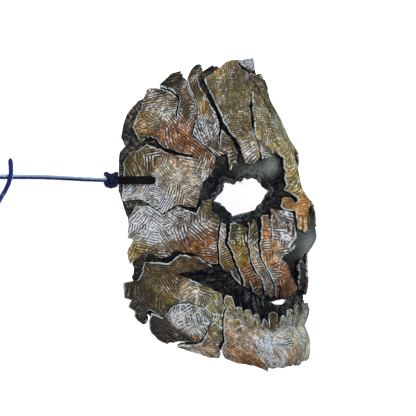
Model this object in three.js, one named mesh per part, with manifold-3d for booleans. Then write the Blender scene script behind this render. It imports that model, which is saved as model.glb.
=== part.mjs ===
// Leather full face mask: a black moulded shell covered with thick torn leather plates,
// with a strap, a knot and a lace on each side. Lengths are millimetres.
// The mask lies face up: +X is the wearer's left, +Y runs up the face, +Z points forward.
import * as THREE from 'three';
import Module from 'manifold-3d';

const wasm = await Module();
wasm.setup();

// Driving dimensions
const FACE_HEIGHT = 225;
const RIM = 150;              // pattern distance from the midline to the rim
const PAST_RIM = RIM + 1;     // an outline that runs off the rim goes this far
const SHELL = 3;              // thickness of the moulded base leather
const GLUE_GAP = 0.5;         // between the base and a plate
const PLATE = 2.6;            // thickness of a plate
const CURL = 1.4;             // how far a torn edge stands up
const FACE_TO_FACE = 0.3;     // the least gap between two touching pieces
const EDGE_STEP = 12;         // longest straight run along a torn edge
const EDGE_TEAR = 0.45;       // how far a torn edge wanders
const NORMAL_STEP = 3;        // the face is smoothed over this distance to find its normal

// Pattern coordinates: s runs across the face from the midline, the wearer's right is negative,
// and h runs up the face from the chin.
// Each station: h, half width at the rim, rim depth, depth at the midline
const STATIONS = [
  [0, 9, 84, 88], [4, 22, 72, 98], [12, 40, 44, 105], [22, 51, 22, 105.5], [34, 59, 8, 103.5],
  [48, 65, 0, 103], [64, 70, 0, 102], [85, 74, 0, 100.5], [108, 77, 0, 97], [128, 77.5, 0, 93.5],
  [145, 77, 0, 92], [160, 75, 0, 87.5], [178, 71, 1, 80.2], [195, 64, 11, 70.5],
  [208, 54, 22, 65], [218, 40, 38, 62], [225, 24, 55, 60],
];
const ROUNDNESS = 0.85;       // power of the cosine that bends the face across

// Height and half width of the nose up the face
const NOSE_RISE = [
  [78, 0], [84, 4], [90, 12], [97, 15.8], [104, 15.8], [113, 14.5], [128, 9], [142, 5], [158, 0],
];
const NOSE_HALF = [[78, 16], [88, 18], [97, 18], [104, 16], [113, 13], [128, 10], [145, 9]];
const NOSE_FOOT = [0.15, 1.35];

// Swellings and hollows on both sides: height, distance from the midline, h, radii across and up
const FORMS = [
  { rise: 4.0, at: [34, 150], radii: [26, 12] },    // brow
  { rise: -13.0, at: [37, 127], radii: [19, 15] },  // eye socket
  { rise: 4.0, at: [60, 108], radii: [18, 14] },    // cheekbone
  { rise: -5.0, at: [62, 74], radii: [20, 14] },    // sunken cheek
  { rise: -3.0, at: [0, 52], radii: [34, 5] },      // mouth
  { rise: -5.0, at: [0, 29], radii: [28, 7] },      // under the lip
];

// Grid lines that every sheet of leather is folded along
const HALF_COLUMNS = [9, 18, 28, 40, 53, 67, 83, 100, 117, 134, RIM];
const COLUMNS = [...HALF_COLUMNS.map((s) => -s).reverse(), 0, ...HALF_COLUMNS];
const ROWS = [0, 8, 16, 24, 31, 39, 48, 59, 70, 80, 89, 97, 105, 113, 122, 132, 142, 154, 168, 182,
  196, 208, 217, FACE_HEIGHT];

const smoothStep = (from, to, x) => {
  const t = Math.min(Math.max((x - from) / (to - from), 0), 1);
  return t * t * (3 - 2 * t);
};

// A smooth curve through points, which never overshoots them
function monotoneCurve(points) {
  const xs = points.map((p) => p[0]);
  const ys = points.map((p) => p[1]);
  const last = xs.length - 1;
  const secants = xs.slice(1).map((x, i) => (ys[i + 1] - ys[i]) / (x - xs[i]));
  const slopes = xs.map((_, i) => {
    if (i === 0) return secants[0];
    if (i === last) return secants[last - 1];
    const [before, after] = [secants[i - 1], secants[i]];
    return before * after > 0 ? (2 * before * after) / (before + after) : 0;
  });
  return (x) => {
    const held = Math.min(Math.max(x, xs[0]), xs[last]);
    let i = 0;
    while (i < last - 1 && held > xs[i + 1]) i += 1;
    const width = xs[i + 1] - xs[i];
    const t = (held - xs[i]) / width;
    return ys[i] * (2 * t ** 3 - 3 * t ** 2 + 1) + ys[i + 1] * (3 * t ** 2 - 2 * t ** 3)
      + width * (slopes[i] * (t ** 3 - 2 * t ** 2 + t) + slopes[i + 1] * (t ** 3 - t ** 2));
  };
}

const halfWidth = monotoneCurve(STATIONS.map(([h, width]) => [h, width]));
const rimDepth = monotoneCurve(STATIONS.map(([h, , rim]) => [h, rim]));
const frontDepth = monotoneCurve(STATIONS.map(([h, , , front]) => [h, front]));
const noseRise = monotoneCurve(NOSE_RISE);
const noseHalf = monotoneCurve(NOSE_HALF);

// The inside face of the base shell
function facePoint(s, h) {
  const angle = (Math.PI / 2) * (s / RIM);
  let x = halfWidth(h) * Math.sin(angle);
  let z = rimDepth(h)
    + (frontDepth(h) - rimDepth(h)) * Math.max(Math.cos(angle), 0) ** ROUNDNESS;
  const across = Math.abs(x);
  let swell = 0;
  for (const { rise, at, radii } of FORMS) {
    swell += rise * Math.exp(-(((across - at[0]) / radii[0]) ** 2)
      - ((h - at[1]) / radii[1]) ** 2);
  }
  x += swell * Math.sin(angle);
  z += swell * Math.cos(angle);
  z += noseRise(h) * (1 - smoothStep(...NOSE_FOOT, Math.abs(x) / noseHalf(h)));
  return new THREE.Vector3(x, h, z);
}

function faceNormal(s, h) {
  const hold = (value, low, high) => Math.min(Math.max(value, low), high);
  const across = facePoint(hold(s + NORMAL_STEP, -RIM, RIM), h)
    .sub(facePoint(hold(s - NORMAL_STEP, -RIM, RIM), h));
  const up = facePoint(s, hold(h + NORMAL_STEP, 0, FACE_HEIGHT))
    .sub(facePoint(s, hold(h - NORMAL_STEP, 0, FACE_HEIGHT)));
  const normal = across.cross(up);
  if (Math.abs(s) === RIM) normal.z = 0;
  return normal.normalize();
}

const foldPoints = ROWS.map((h) => COLUMNS.map((s) => facePoint(s, h)));
const foldNormals = ROWS.map((h) => COLUMNS.map((s) => faceNormal(s, h)));

const cellOf = (lines, value) => {
  let i = 0;
  while (i < lines.length - 2 && value > lines[i + 1]) i += 1;
  return [i, (value - lines[i]) / (lines[i + 1] - lines[i])];
};

// The place of a pattern point, lifted along the normal, on the folded grid
function place(s, h, lift) {
  const [i, u] = cellOf(COLUMNS, s);
  const [j, v] = cellOf(ROWS, h);
  const corners = u >= v
    ? [[j, i, 1 - u], [j, i + 1, u - v], [j + 1, i + 1, v]]
    : [[j, i, 1 - v], [j + 1, i + 1, u], [j + 1, i, v - u]];
  const point = new THREE.Vector3();
  for (const [row, column, share] of corners) {
    point.addScaledVector(foldPoints[row][column], share);
    point.addScaledVector(foldNormals[row][column], share * lift);
  }
  return point;
}

function solidFrom(vertices, triangles) {
  return new wasm.Manifold(new wasm.Mesh({
    numProp: 3,
    vertProperties: new Float32Array(vertices),
    triVerts: new Uint32Array(triangles),
  }));
}

// A flat sheet over the whole pattern, cut into the grid's cells
function flatSheet(bottom, top) {
  const wide = COLUMNS.length;
  const layer = wide * ROWS.length;
  const vertices = [bottom, top].flatMap(
    (lift) => ROWS.flatMap((h) => COLUMNS.flatMap((s) => [s, h, lift])),
  );
  const triangles = [];
  for (let j = 0; j < ROWS.length - 1; j += 1) {
    for (let i = 0; i < wide - 1; i += 1) {
      const a = j * wide + i;
      const [b, c, d] = [a + 1, a + wide + 1, a + wide];
      triangles.push(a, c, b, a, d, c);
      triangles.push(layer + a, layer + b, layer + c, layer + a, layer + c, layer + d);
    }
  }
  const border = [];
  for (let i = 0; i < wide - 1; i += 1) border.push(i);
  for (let j = 0; j < ROWS.length - 1; j += 1) border.push(j * wide + wide - 1);
  for (let i = wide - 1; i > 0; i -= 1) border.push((ROWS.length - 1) * wide + i);
  for (let j = ROWS.length - 1; j > 0; j -= 1) border.push(j * wide);
  border.forEach((a, k) => {
    const b = border[(k + 1) % border.length];
    triangles.push(a, b, layer + b, a, layer + b, layer + a);
  });
  return solidFrom(vertices, triangles);
}

// An upright prism on an outline, which cuts right through a sheet
function prism(outline, bottom = -10, top = 40) {
  const contour = outline.map(([s, h]) => new THREE.Vector2(s, h));
  if (THREE.ShapeUtils.isClockWise(contour)) contour.reverse();
  const count = contour.length;
  const vertices = [bottom, top].flatMap((lift) => contour.flatMap((p) => [p.x, p.y, lift]));
  const triangles = [];
  for (const [a, b, c] of THREE.ShapeUtils.triangulateShape(contour, [])) {
    triangles.push(a, c, b, count + a, count + b, count + c);
  }
  for (let a = 0; a < count; a += 1) {
    const b = (a + 1) % count;
    triangles.push(a, b, count + b, a, count + b, count + a);
  }
  return solidFrom(vertices, triangles);
}

// A torn edge: long runs are broken up and their middles wander a little
function torn(outline) {
  const points = [];
  outline.forEach(([s, h], k) => {
    const [nextS, nextH] = outline[(k + 1) % outline.length];
    const length = Math.hypot(nextS - s, nextH - h);
    const runs = Math.max(1, Math.round(length / EDGE_STEP));
    const offRim = Math.abs(s) < RIM && Math.abs(nextS) < RIM;
    points.push([s, h]);
    for (let i = 1; i < runs; i += 1) {
      const t = i / runs;
      const [midS, midH] = [s + (nextS - s) * t, h + (nextH - h) * t];
      const wander = offRim ? EDGE_TEAR * Math.sin(2.3 * midS + 3.1 * midH + i * 2.4) : 0;
      points.push([midS - (wander * (nextH - h)) / length, midH + (wander * (nextS - s)) / length]);
    }
  });
  return points;
}

// The wearer's left side is a little different from the right: the pattern is shifted smoothly,
// by nothing at the midline and at the rim
const SIDE_SHIFT = 2.6;
const shiftLeft = ([s, h]) => {
  if (s <= 0 || s >= RIM) return [s, h];
  const fade = SIDE_SHIFT * Math.sin((Math.PI * s) / RIM);
  return [s + fade * Math.sin(h / 17 + 1.2), h + fade * Math.sin(s / 15 + h / 23)];
};
const mirrored = (outline) => outline.map(([s, h]) => [-s, h]);
const symmetric = (rightHalf) => [...rightHalf, ...mirrored(rightHalf).reverse()];

// Outlines in pattern coordinates, the wearer's right side
const FOREHEAD_SLAB = [
  [-90.5, 205.5], [-87.2, 208.2], [-84, 211], [-81.4, 214], [-80.4, 218], [-78.6, 221.6],
  [-73, 224.3], [-66, 224.3], [-48, 218.6], [-22, 214.4], [4, 212.6], [14, 210], [19, 205.5],
  [17, 199.6], [28, 182], [36, 160], [33, 153.4], [18, 155], [9.3, 147], [8.8, 133], [5, 124.4],
  [15.5, 119], [20, 116], [11.5, 113.4], [13, 105], [11, 102], [5, 114], [0, 119], [-5, 111],
  [-9.3, 98], [-13.8, 100.3], [-11, 112.4], [-13.4, 112.6], [-16, 113.4], [-16.5, 115.2],
  [-15.4, 118], [-11.5, 123.3], [-9.4, 122.6], [-7.6, 118.2], [-5.8, 119.6], [-7.2, 125],
  [-10.2, 128.8], [-8.5, 132.2], [-9.8, 138], [-9, 143.4], [-12.3, 145.8], [-9.4, 151.3],
  [-14, 151.3], [-19.2, 153.5], [-24.2, 155.8], [-27.8, 153], [-33, 151.6], [-41.6, 151],
  [-41.2, 155.5], [-40, 160.2], [-38, 166.8], [-36.4, 172.6], [-33.4, 179], [-29, 185.4],
  [-22, 192.2], [-16.6, 197], [-18, 198.4], [-23, 195.6], [-28.6, 191], [-33.4, 186],
  [-37.2, 180.6], [-39.6, 175], [-40.4, 168], [-42.2, 159.5], [-44, 151.2], [-49.2, 149.2],
  [-53.8, 148.3], [-57.8, 149], [-59.3, 153], [-59.3, 157.4], [-61.5, 163.3], [-65.6, 168.6],
  [-68.6, 175], [-70.6, 183], [-73.4, 188.8], [-77.4, 194.4], [-84, 201.2],
];
const FOREHEAD_LEFT = [
  [38.5, 157], [42, 151], [54, 149], [60, 154], [61, 163], [68, 175], [73, 190], [86, 201],
  [96, 206.5], [87, 211.5], [76, 214.8], [56, 214.6], [26, 212.6], [22, 207], [20.2, 199.5],
  [30.4, 184], [37, 170],
];
const CROWN_SLIVER = [
  [-43, 222.4], [-38, 224.4], [-8, 224.4], [-7.5, 220.4], [-2.4, 217], [-7, 215.4], [-12, 214.9],
  [-25, 218],
];
const FOREHEAD_FLANK = [
  [-112, 205.2], [-114.5, 209], [-118.8, 212.4], [-121.5, 214.6], [-117, 215.4], [-108.8, 214],
  [-99, 211.5], [-100, 206], [-84.5, 194.5], [-76.2, 184], [-73.4, 176], [-74.6, 168.5],
  [-77.2, 161], [-76.5, 159.2], [-74.2, 164.5], [-72.2, 169.4], [-69.5, 166.8], [-66.5, 163.8],
  [-65, 160], [-64.2, 155.5], [-62.8, 153.4], [-65.6, 150.2], [-65.2, 148.2], [-71, 145.3],
  [-72, 153.2], [-80, 151.5], [-87, 157.5], [-94.5, 164.2], [-96.8, 167.2], [-94, 174],
  [-91.2, 181], [-90.8, 184], [-91.8, 188.2], [-96, 192.4], [-103.6, 198.4], [-107.6, 202.2],
];
const TEMPLE_PLATE = [
  [-147.5, 197.5], [-145.8, 198.5], [-136.5, 198.5], [-128.2, 197.5], [-121.8, 196],
  [-116.5, 194], [-112.2, 191.8], [-110.2, 189.5], [-110.5, 186.2], [-109.8, 183.8], [-110, 178],
  [-109.2, 177.2], [-108.3, 180.3], [-108.2, 183.2], [-109, 187.3], [-109, 190], [-111, 192.8],
  [-116, 195.4], [-123.2, 197.6], [-131, 199.2], [-137.8, 200.2], [-137, 203.2], [-138, 207.5],
  [-135.2, 209], [-128.8, 209.3], [-122.8, 208.3], [-115.8, 206.2], [-112.7, 205], [-108.2, 202],
  [-104.2, 198], [-96.6, 192], [-93, 188.2], [-92, 184], [-92.5, 181], [-95.2, 174], [-98, 167],
  [-95.5, 163.5], [-88, 156.5], [-81.5, 151], [-84, 144.5], [-93, 134], [-97, 122], [-99, 114.5],
  [-112, 118.3], [-121.3, 112.4], [-130.4, 118.4], [-135, 122], [-146.5, 121], [-146.5, 148],
  [-140.5, 155], [-131, 159.3], [-122.5, 156.5], [-111, 152], [-99, 151], [-98.6, 152.4],
  [-110, 154.5], [-120, 158.2], [-125.5, 163.8], [-130, 165.5], [-136, 162.3], [-142, 172],
  [-139.5, 184.5],
];
const CHEEK_PLATE = [
  [-131, 117.4], [-139, 116.6], [-143, 109.8], [-145, 97], [-142, 96.3], [-146.6, 88.3],
  [-146.8, 78.3], [-138.5, 86], [-132, 87], [-126, 83.6], [-120, 86], [-116.5, 89.2], [-104.5, 88],
  [-91, 79.4], [-85.6, 79.4], [-86.8, 91], [-84.2, 106.8], [-88.5, 113], [-88.3, 120],
  [-93.5, 119.8], [-99.5, 111.3], [-111.8, 117.1], [-121.1, 111.4],
];
const JAW_PLATE = [
  [-100.5, 84.9], [-114, 86.4], [-121.5, 80], [-133.5, 80.8], [-137.5, 81.3], [-141.5, 66],
  [-PAST_RIM, 63.5], [-PAST_RIM, 54], [-147.4, 52.6], [-148.4, 48.6], [-146.4, 45.4],
  [-147.8, 39.5], [-147, 36.8], [-144.2, 37.2], [-141.5, 40.2], [-139.3, 44.6], [-137.6, 46.6],
  [-135.4, 45.8], [-132, 42.3], [-127.7, 44.5], [-121.2, 50.3], [-118.1, 51.4], [-113.5, 52.2],
  [-105.4, 49.9], [-100, 47.5], [-95.8, 42.3], [-98.7, 37.9], [-104.3, 32.5], [-115.6, 25.2],
  [-119.7, 23.6], [-129, 22.6], [-137.5, 23], [-141, 22], [-142.5, 20.2], [-132.2, 17.4],
  [-129, 14.6], [-123.2, 13.8], [-117.8, 15.2], [-109, 20.8], [-99.8, 25.8], [-94, 32.5],
  [-91.2, 38], [-89.2, 42.2], [-85.4, 47], [-87, 51], [-86.8, 56.6], [-101, 62.8], [-117, 70.3],
  [-98, 75.4], [-91, 77.4],
];
const JAW_CORNER = [
  [-140, 39.8], [-137.2, 43.7], [-135, 43], [-131.6, 41.5], [-127.3, 43.9], [-120.8, 49.7],
  [-117.9, 50.6], [-113.5, 51.4], [-105.6, 49.1], [-100.4, 46.9], [-96.6, 42.1], [-99.3, 38.5],
  [-104.7, 33.1], [-116, 25.8], [-119.9, 24.6], [-127, 24.6], [-134.8, 25.4], [-141.2, 24.4],
  [-146, 22.8], [-148.2, 24.8], [-147, 30], [-145.2, 32.8],
];
const CHEEK_STRIP_OUTER = [
  [-82.8, 105.8], [-79.7, 105], [-80.4, 93.5], [-73, 79.5], [-70.9, 73], [-70.4, 62.5],
  [-75.5, 68], [-76.5, 73], [-80, 72], [-84.2, 79.5], [-85.4, 91], [-83.6, 103],
];
const CHEEK_STRIP_MIDDLE = [
  [-76.8, 106], [-67, 104], [-63.2, 101], [-63.5, 93.5], [-60.7, 80], [-58.4, 72],
  [-53.4, 67], [-53, 54], [-61.5, 58.5], [-62.5, 65], [-64.5, 60], [-68, 61], [-67.8, 66],
  [-69.1, 75], [-73.7, 85], [-78.4, 94], [-77.6, 101],
];
const CHEEK_STRIP_INNER = [
  [-61, 105.5], [-57.5, 103.5], [-54.5, 106.5], [-52.9, 105], [-53.7, 90], [-51.9, 82],
  [-46.8, 72], [-41.8, 62.5], [-41.4, 56], [-45, 54], [-48, 57], [-51, 55.5], [-52, 67],
  [-56.4, 72.8], [-59.2, 80], [-62, 93.5], [-61.7, 100.5],
];
const NOSE_SIDE_PLATE = [
  [-44.5, 108], [-36.5, 108.5], [-40.2, 96], [-41, 91], [-39.9, 91], [-36, 104],
  [-29.5, 113.2], [-14.5, 112.2], [-12.8, 110.5], [-15.4, 99.5], [-16, 92.5], [-18, 87.5],
  [-30.5, 80.3], [-23, 74.3], [-20.5, 67], [-13, 59.5], [-14, 56], [-20, 54.5], [-33, 53.5],
  [-35, 65.5], [-37, 54.5], [-40.1, 55], [-40.1, 62], [-45.4, 72], [-50.2, 82.5],
  [-51.4, 90], [-48.5, 100],
];
const LIP_PLATE = [
  [-8, 58.5], [-6.5, 66], [-7.5, 74], [-4, 80], [0, 81.5], [4, 79], [7, 73], [6, 64], [7.5, 58],
];
const EYE = [
  [-85.2, 121], [-79, 125.2], [-76, 128.2], [-73.8, 132], [-73.5, 135.2], [-66, 134.5],
  [-61.8, 135.2], [-61, 137], [-53.8, 140.2], [-49.5, 139.2], [-42.2, 139.2], [-38, 138.2],
  [-32, 135.8], [-27, 132.2], [-21.5, 128.8], [-28, 121.8], [-34.2, 117.8], [-44.5, 113.5],
  [-59, 111.8], [-72, 110.2], [-76.8, 114.5], [-80.5, 118.8],
];
const MOUTH = [
  [-43, 49.2], [-34.8, 50.4], [-24.8, 50.8], [-19.2, 50.2], [-21.8, 48.8], [-28.8, 47], [-36, 47],
  [-40.2, 48.2],
];
const BASE = symmetric([
  [-20, 222], [-45, 222], [-72, 219], [-83.2, 217], [-92, 217.8], [-101, 217.6], [-102.5, 213],
  [-110, 212.4], [-117.5, 212.8], [-116, 209], [-113, 204.5], [-118, 206], [-124, 207],
  [-134, 207.2], [-136, 203.5], [-142, 198], [-149.5, 192], [-PAST_RIM, 180], [-PAST_RIM, 170],
  [-148, 160], [-PAST_RIM, 152], [-PAST_RIM, 131], [-149, 124.8], [-147.2, 116.2], [-145, 108.2],
  [-142.5, 92], [-146.4, 80], [-145.6, 74.8], [-146.6, 68], [-145, 58], [-140, 38], [-144, 29],
  [-132, 20.5], [-110, 17], [-88, 12.5], [-60, 11.5], [-20, 12],
]);

// The chin's top edge is a row of teeth: from and to across, the tip, and the cut after it
const TEETH = [
  [-85.6, -79, 56, 48.6], [-78, -72.8, 47.8, 42], [-71.2, -65.5, 45.6, 38],
  [-64.5, -59.4, 42.6, 34], [-57, -53.2, 39.5, 33], [-50.6, -41, 43.2, 35],
  [-37.2, -31, 40.6, 37], [-29.2, -22.6, 44.2, 38.5], [-18.6, -9, 45.6, 38.5],
];
const TOOTH_SHOULDER = 1;
const toothRow = TEETH.flatMap(([from, to, tip, cut]) => [
  [from + 0.4, tip - TOOTH_SHOULDER], [(from + to) / 2, tip],
  [to - 0.4, tip - TOOTH_SHOULDER], [to + 0.9, cut],
]);
const CHIN_END = [
  [-37.8, 7.6], [-50, 6.6], [-70, 7.2], [-82.5, 6.6], [-88.5, 5.4], [-92, 7.4], [-102.8, 9],
  [-112, 11.6], [-116.6, 14.2], [-108, 19.8], [-98.9, 24.9], [-93, 31.8], [-90.1, 37.6],
  [-88.2, 41.5], [-84.3, 46.4], [-85.8, 50.6],
];
const CHIN_PLATE = symmetric([[-20, 8.8], ...CHIN_END, ...toothRow, [-5, 44.6], [-2, 46]]);

// The strap's hole through the temple, and the round cut for it. The left one sits a little higher
const STRAP_HOLE = { s: -129, radius: 4, sides: 10 };
const STRAP_HEIGHT = { right: 136, left: 141 };
const ring = Array.from({ length: STRAP_HOLE.sides }, (_, k) => {
  const turn = (2 * Math.PI * k) / STRAP_HOLE.sides;
  return [STRAP_HOLE.s + STRAP_HOLE.radius * Math.cos(turn), STRAP_HOLE.radius * Math.sin(turn)];
});
const holeOutline = {
  right: ring.map(([s, h]) => [s, h + STRAP_HEIGHT.right]),
  left: mirrored(ring.map(([s, h]) => [s, h + STRAP_HEIGHT.left])),
};

function distanceToOutline(outline, s, h) {
  const point = new THREE.Vector3(s, h, 0);
  const nearest = new THREE.Vector3();
  return Math.min(...outline.map((from, k) => {
    const to = outline[(k + 1) % outline.length];
    new THREE.Line3(new THREE.Vector3(...from, 0), new THREE.Vector3(...to, 0))
      .closestPointToPoint(point, true, nearest);
    return nearest.distanceTo(point);
  }));
}

// Folds a flat solid onto the face. `raise` gives the extra height of a point of its top
function fold(solid, raise = () => 0) {
  const { vertProperties, triVerts } = solid.getMesh();
  const folded = [];
  for (let k = 0; k < vertProperties.length; k += 3) {
    const [s, h, lift] = vertProperties.subarray(k, k + 3);
    folded.push(...place(s, h, lift + raise(s, h, lift)));
  }
  return solidFrom(folded, triVerts);
}

function geometryOf(solid) {
  const { vertProperties, triVerts } = solid.getMesh();
  const geometry = new THREE.BufferGeometry();
  geometry.setAttribute('position', new THREE.BufferAttribute(vertProperties, 3));
  geometry.setIndex(new THREE.BufferAttribute(triVerts, 1));
  return geometry;
}

const finish = (color, roughness) => new THREE.MeshStandardMaterial({
  color, roughness, metalness: 0, flatShading: true,
});
const BLACK_LEATHER = finish('#15171b', 0.45);
const OLIVE = finish('#6b6640', 0.6);
const AMBER = finish('#8a6a34', 0.6);
const RUST = finish('#7d4c2b', 0.6);
const BONE = finish('#8f8b7c', 0.6);
const STRAP_BLACK = finish('#08090b', 0.7);
const KNOT_NAVY = finish('#0e1830', 0.8);
const LACE_BLUE = finish('#6f97cf', 0.85);

const mask = new THREE.Group();
const add = (group, name, geometry, material) => {
  const mesh = new THREE.Mesh(geometry, material);
  mesh.name = name;
  group.add(mesh);
};

// The moulded base shell, with its eye holes, mouth slit and strap holes
const baseSheet = flatSheet(0, SHELL);
const baseCuts = [EYE, mirrored(EYE).map(shiftLeft), MOUTH, mirrored(MOUTH).map(shiftLeft),
  holeOutline.right, holeOutline.left];
let base = baseSheet.intersect(prism(torn(BASE.map(shiftLeft))));
for (const cut of baseCuts) base = base.subtract(prism(cut));
add(mask, 'base_shell', geometryOf(fold(base)), BLACK_LEATHER);

// A torn plate glued on the shell. Its edges curl up, and `lifted` corners stand out further
const PLATE_BOTTOM = SHELL + GLUE_GAP;
const PLATE_TOP = PLATE_BOTTOM + PLATE;
const plateSheet = flatSheet(PLATE_BOTTOM, PLATE_TOP);
const shellAndGap = fold(flatSheet(0, SHELL + FACE_TO_FACE));
const ON_EDGE = 0.05;
function addPlate(name, outline, material, { lifted = [], cuts = [], curl = CURL } = {}) {
  const edge = torn(outline);
  let solid = plateSheet.intersect(prism(edge));
  for (const cut of cuts) solid = solid.subtract(prism(cut));
  const raise = (s, h, lift) => {
    if (lift < (PLATE_BOTTOM + PLATE_TOP) / 2) return 0;
    let extra = 0;
    if (distanceToOutline(edge, s, h) < ON_EDGE) {
      extra += curl * (0.6 + 0.4 * Math.sin(0.35 * s + 0.22 * h));
    }
    for (const { at, rise, reach } of lifted) {
      extra += rise * Math.exp(-(((s - at[0]) ** 2 + (h - at[1]) ** 2) / reach ** 2));
    }
    return extra;
  };
  const pieces = fold(solid, raise).subtract(shellAndGap).decompose();
  pieces.sort((one, other) => other.volume() - one.volume());
  add(mask, name, geometryOf(pieces[0]), material);
}

addPlate('forehead_slab', FOREHEAD_SLAB.map(shiftLeft), OLIVE, {
  lifted: [
    { at: [16, 206], rise: 3.5, reach: 14 }, { at: [-66, 223], rise: 3, reach: 14 },
    { at: [19, 116.5], rise: 4, reach: 7 },
  ],
});
addPlate('forehead_plate_left', FOREHEAD_LEFT.map(shiftLeft), OLIVE);
addPlate('crown_sliver', CROWN_SLIVER.map(shiftLeft), BONE, {
  lifted: [{ at: [-10, 222], rise: 3.4, reach: 14 }],
});
addPlate('upper_lip_plate', LIP_PLATE.map(shiftLeft), BONE);
addPlate('chin_plate', CHIN_PLATE.map(shiftLeft), BONE);

const PAIRED = [
  ['forehead_flank', FOREHEAD_FLANK, BONE, {}],
  ['temple_plate', TEMPLE_PLATE, AMBER, { hole: true }],
  ['cheek_plate', CHEEK_PLATE, RUST, {}],
  ['jaw_plate', JAW_PLATE, OLIVE, {}],
  ['jaw_corner', JAW_CORNER, RUST, {}],
  ['cheek_strip_outer', CHEEK_STRIP_OUTER, OLIVE, { curl: 0.8 }],
  ['cheek_strip_middle', CHEEK_STRIP_MIDDLE, AMBER, { curl: 0.8 }],
  ['cheek_strip_inner', CHEEK_STRIP_INNER, AMBER, { curl: 0.8 }],
  ['nose_side_plate', NOSE_SIDE_PLATE, RUST, { curl: 0.8 }],
];
for (const [name, outline, material, { hole, curl }] of PAIRED) {
  const shapes = { right: outline, left: mirrored(outline).map(shiftLeft) };
  for (const side of ['right', 'left']) {
    addPlate(`${name}_${side}`, shapes[side], material,
      { curl, cuts: hole ? [holeOutline[side]] : [] });
  }
}

// Straps, knots and laces. A side is -1 on the wearer's right and 1 on the left
const STRAP = { width: 5.8, thickness: 2.2 };
const KNOT = { radii: [6.6, 6, 4.6], x: 99.3 };
const LACE = { diameter: 3, sides: 8 };
const TABLE_GAP = 0.1;
const cords = new THREE.Group();

// The strap comes out of the hole, runs down the temple and turns out along the table.
// Each point: distance from the midline, height above the table
const STRAP_ROUTE = [
  [71.5, 24.2], [76, 25.4], [81, 26.6], [85.2, 26.2], [87.6, 22.8], [88, 17], [88, 11.5],
  [88.9, 7.3], [92, 4.9],
];
function strapGeometry(name, side) {
  const curve = new THREE.CatmullRomCurve3(STRAP_ROUTE.map(([x, z]) => new THREE.Vector3(x, z, 0)));
  const steps = 14;
  const edges = [1, -1].map((way) => Array.from({ length: steps + 1 }, (_, k) => {
    const point = curve.getPointAt(k / steps);
    const tangent = curve.getTangentAt(k / steps);
    const off = (way * STRAP.thickness) / 2;
    return new THREE.Vector2(side * (point.x - tangent.y * off), point.y + tangent.x * off);
  }));
  const shape = new THREE.Shape([...edges[0], ...edges[1].reverse()]);
  const geometry = new THREE.ExtrudeGeometry(shape, { depth: STRAP.width, bevelEnabled: false });
  geometry.rotateX(Math.PI / 2);
  geometry.translate(0, STRAP_HEIGHT[name] + STRAP.width / 2, 0);
  return geometry;
}

// The knot rests on the table at the strap's lower end
function knotGeometry(name, side) {
  const geometry = new THREE.SphereGeometry(1, 12, 7);
  geometry.scale(...KNOT.radii);
  geometry.translate(side * KNOT.x, STRAP_HEIGHT[name], KNOT.radii[2] + TABLE_GAP);
  return geometry;
}

// The lace runs out along the table from the knot to its coil
const COIL = { inner: 13.2, outer: 19.8, height: 6.2, segments: 16 };
const LACE_Z = LACE.diameter / 2 + TABLE_GAP;
const LACE_START = KNOT.x + KNOT.radii[0] + FACE_TO_FACE;
const RIGHT_COIL = [-262, STRAP_HEIGHT.right - 19.7];
const LEFT_COIL = [160, STRAP_HEIGHT.left - 18.5];
const RIGHT_LACE = [
  [-LACE_START, 136, LACE_Z + 2.6], [-111, 136, LACE_Z + 1.2], [-117, 136, LACE_Z],
  [-128, 136, LACE_Z], [-140, 136.1, LACE_Z], [-158, 136.3, LACE_Z], [-176, 136.4, LACE_Z],
  [-194, 136.3, LACE_Z], [-212, 136, LACE_Z], [-228, 135.7, LACE_Z], [-238, 135.6, LACE_Z],
  [-248, 135, LACE_Z],
];
const LEFT_LACE = [
  [LACE_START, 141, LACE_Z + 2.6], [111, 141, LACE_Z + 1.2], [117, 141.1, LACE_Z],
  [126, 141.2, LACE_Z], [136, 141.1, LACE_Z], [145, 140.8, LACE_Z],
];
// The free end comes back from the right coil and passes over the lace
const FREE_END = [
  [-240.6, 113.5, LACE_Z], [-236.4, 118, LACE_Z], [-232, 123.4, LACE_Z + 0.8],
  [-228.6, 129.6, LACE_Z + 2.6], [-226, 136, LACE_Z + LACE.diameter + FACE_TO_FACE],
  [-223.6, 142, LACE_Z + 1.9], [-221.4, 147, LACE_Z],
];
function tubeGeometry(points, steps) {
  const route = new THREE.CatmullRomCurve3(points.map((p) => new THREE.Vector3(...p)));
  const section = new THREE.Shape(Array.from({ length: LACE.sides }, (_, k) => {
    const turn = (2 * Math.PI * (k + 0.5)) / LACE.sides;
    return new THREE.Vector2(Math.cos(turn), Math.sin(turn)).multiplyScalar(LACE.diameter / 2);
  }));
  return new THREE.ExtrudeGeometry(section, { steps, extrudePath: route, curveSegments: 1 });
}
function coilGeometry([x, y]) {
  const corner = 1.2;
  const profile = [
    [COIL.inner, corner], [COIL.inner + corner, 0], [COIL.outer - corner, 0],
    [COIL.outer, corner], [COIL.outer, COIL.height - corner],
    [COIL.outer - corner, COIL.height], [COIL.inner + corner, COIL.height],
    [COIL.inner, COIL.height - corner], [COIL.inner, corner],
  ].map(([radius, z]) => new THREE.Vector2(radius, z));
  const geometry = new THREE.LatheGeometry(profile, COIL.segments);
  geometry.rotateX(Math.PI / 2);
  geometry.translate(x, y, TABLE_GAP);
  return geometry;
}

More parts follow.
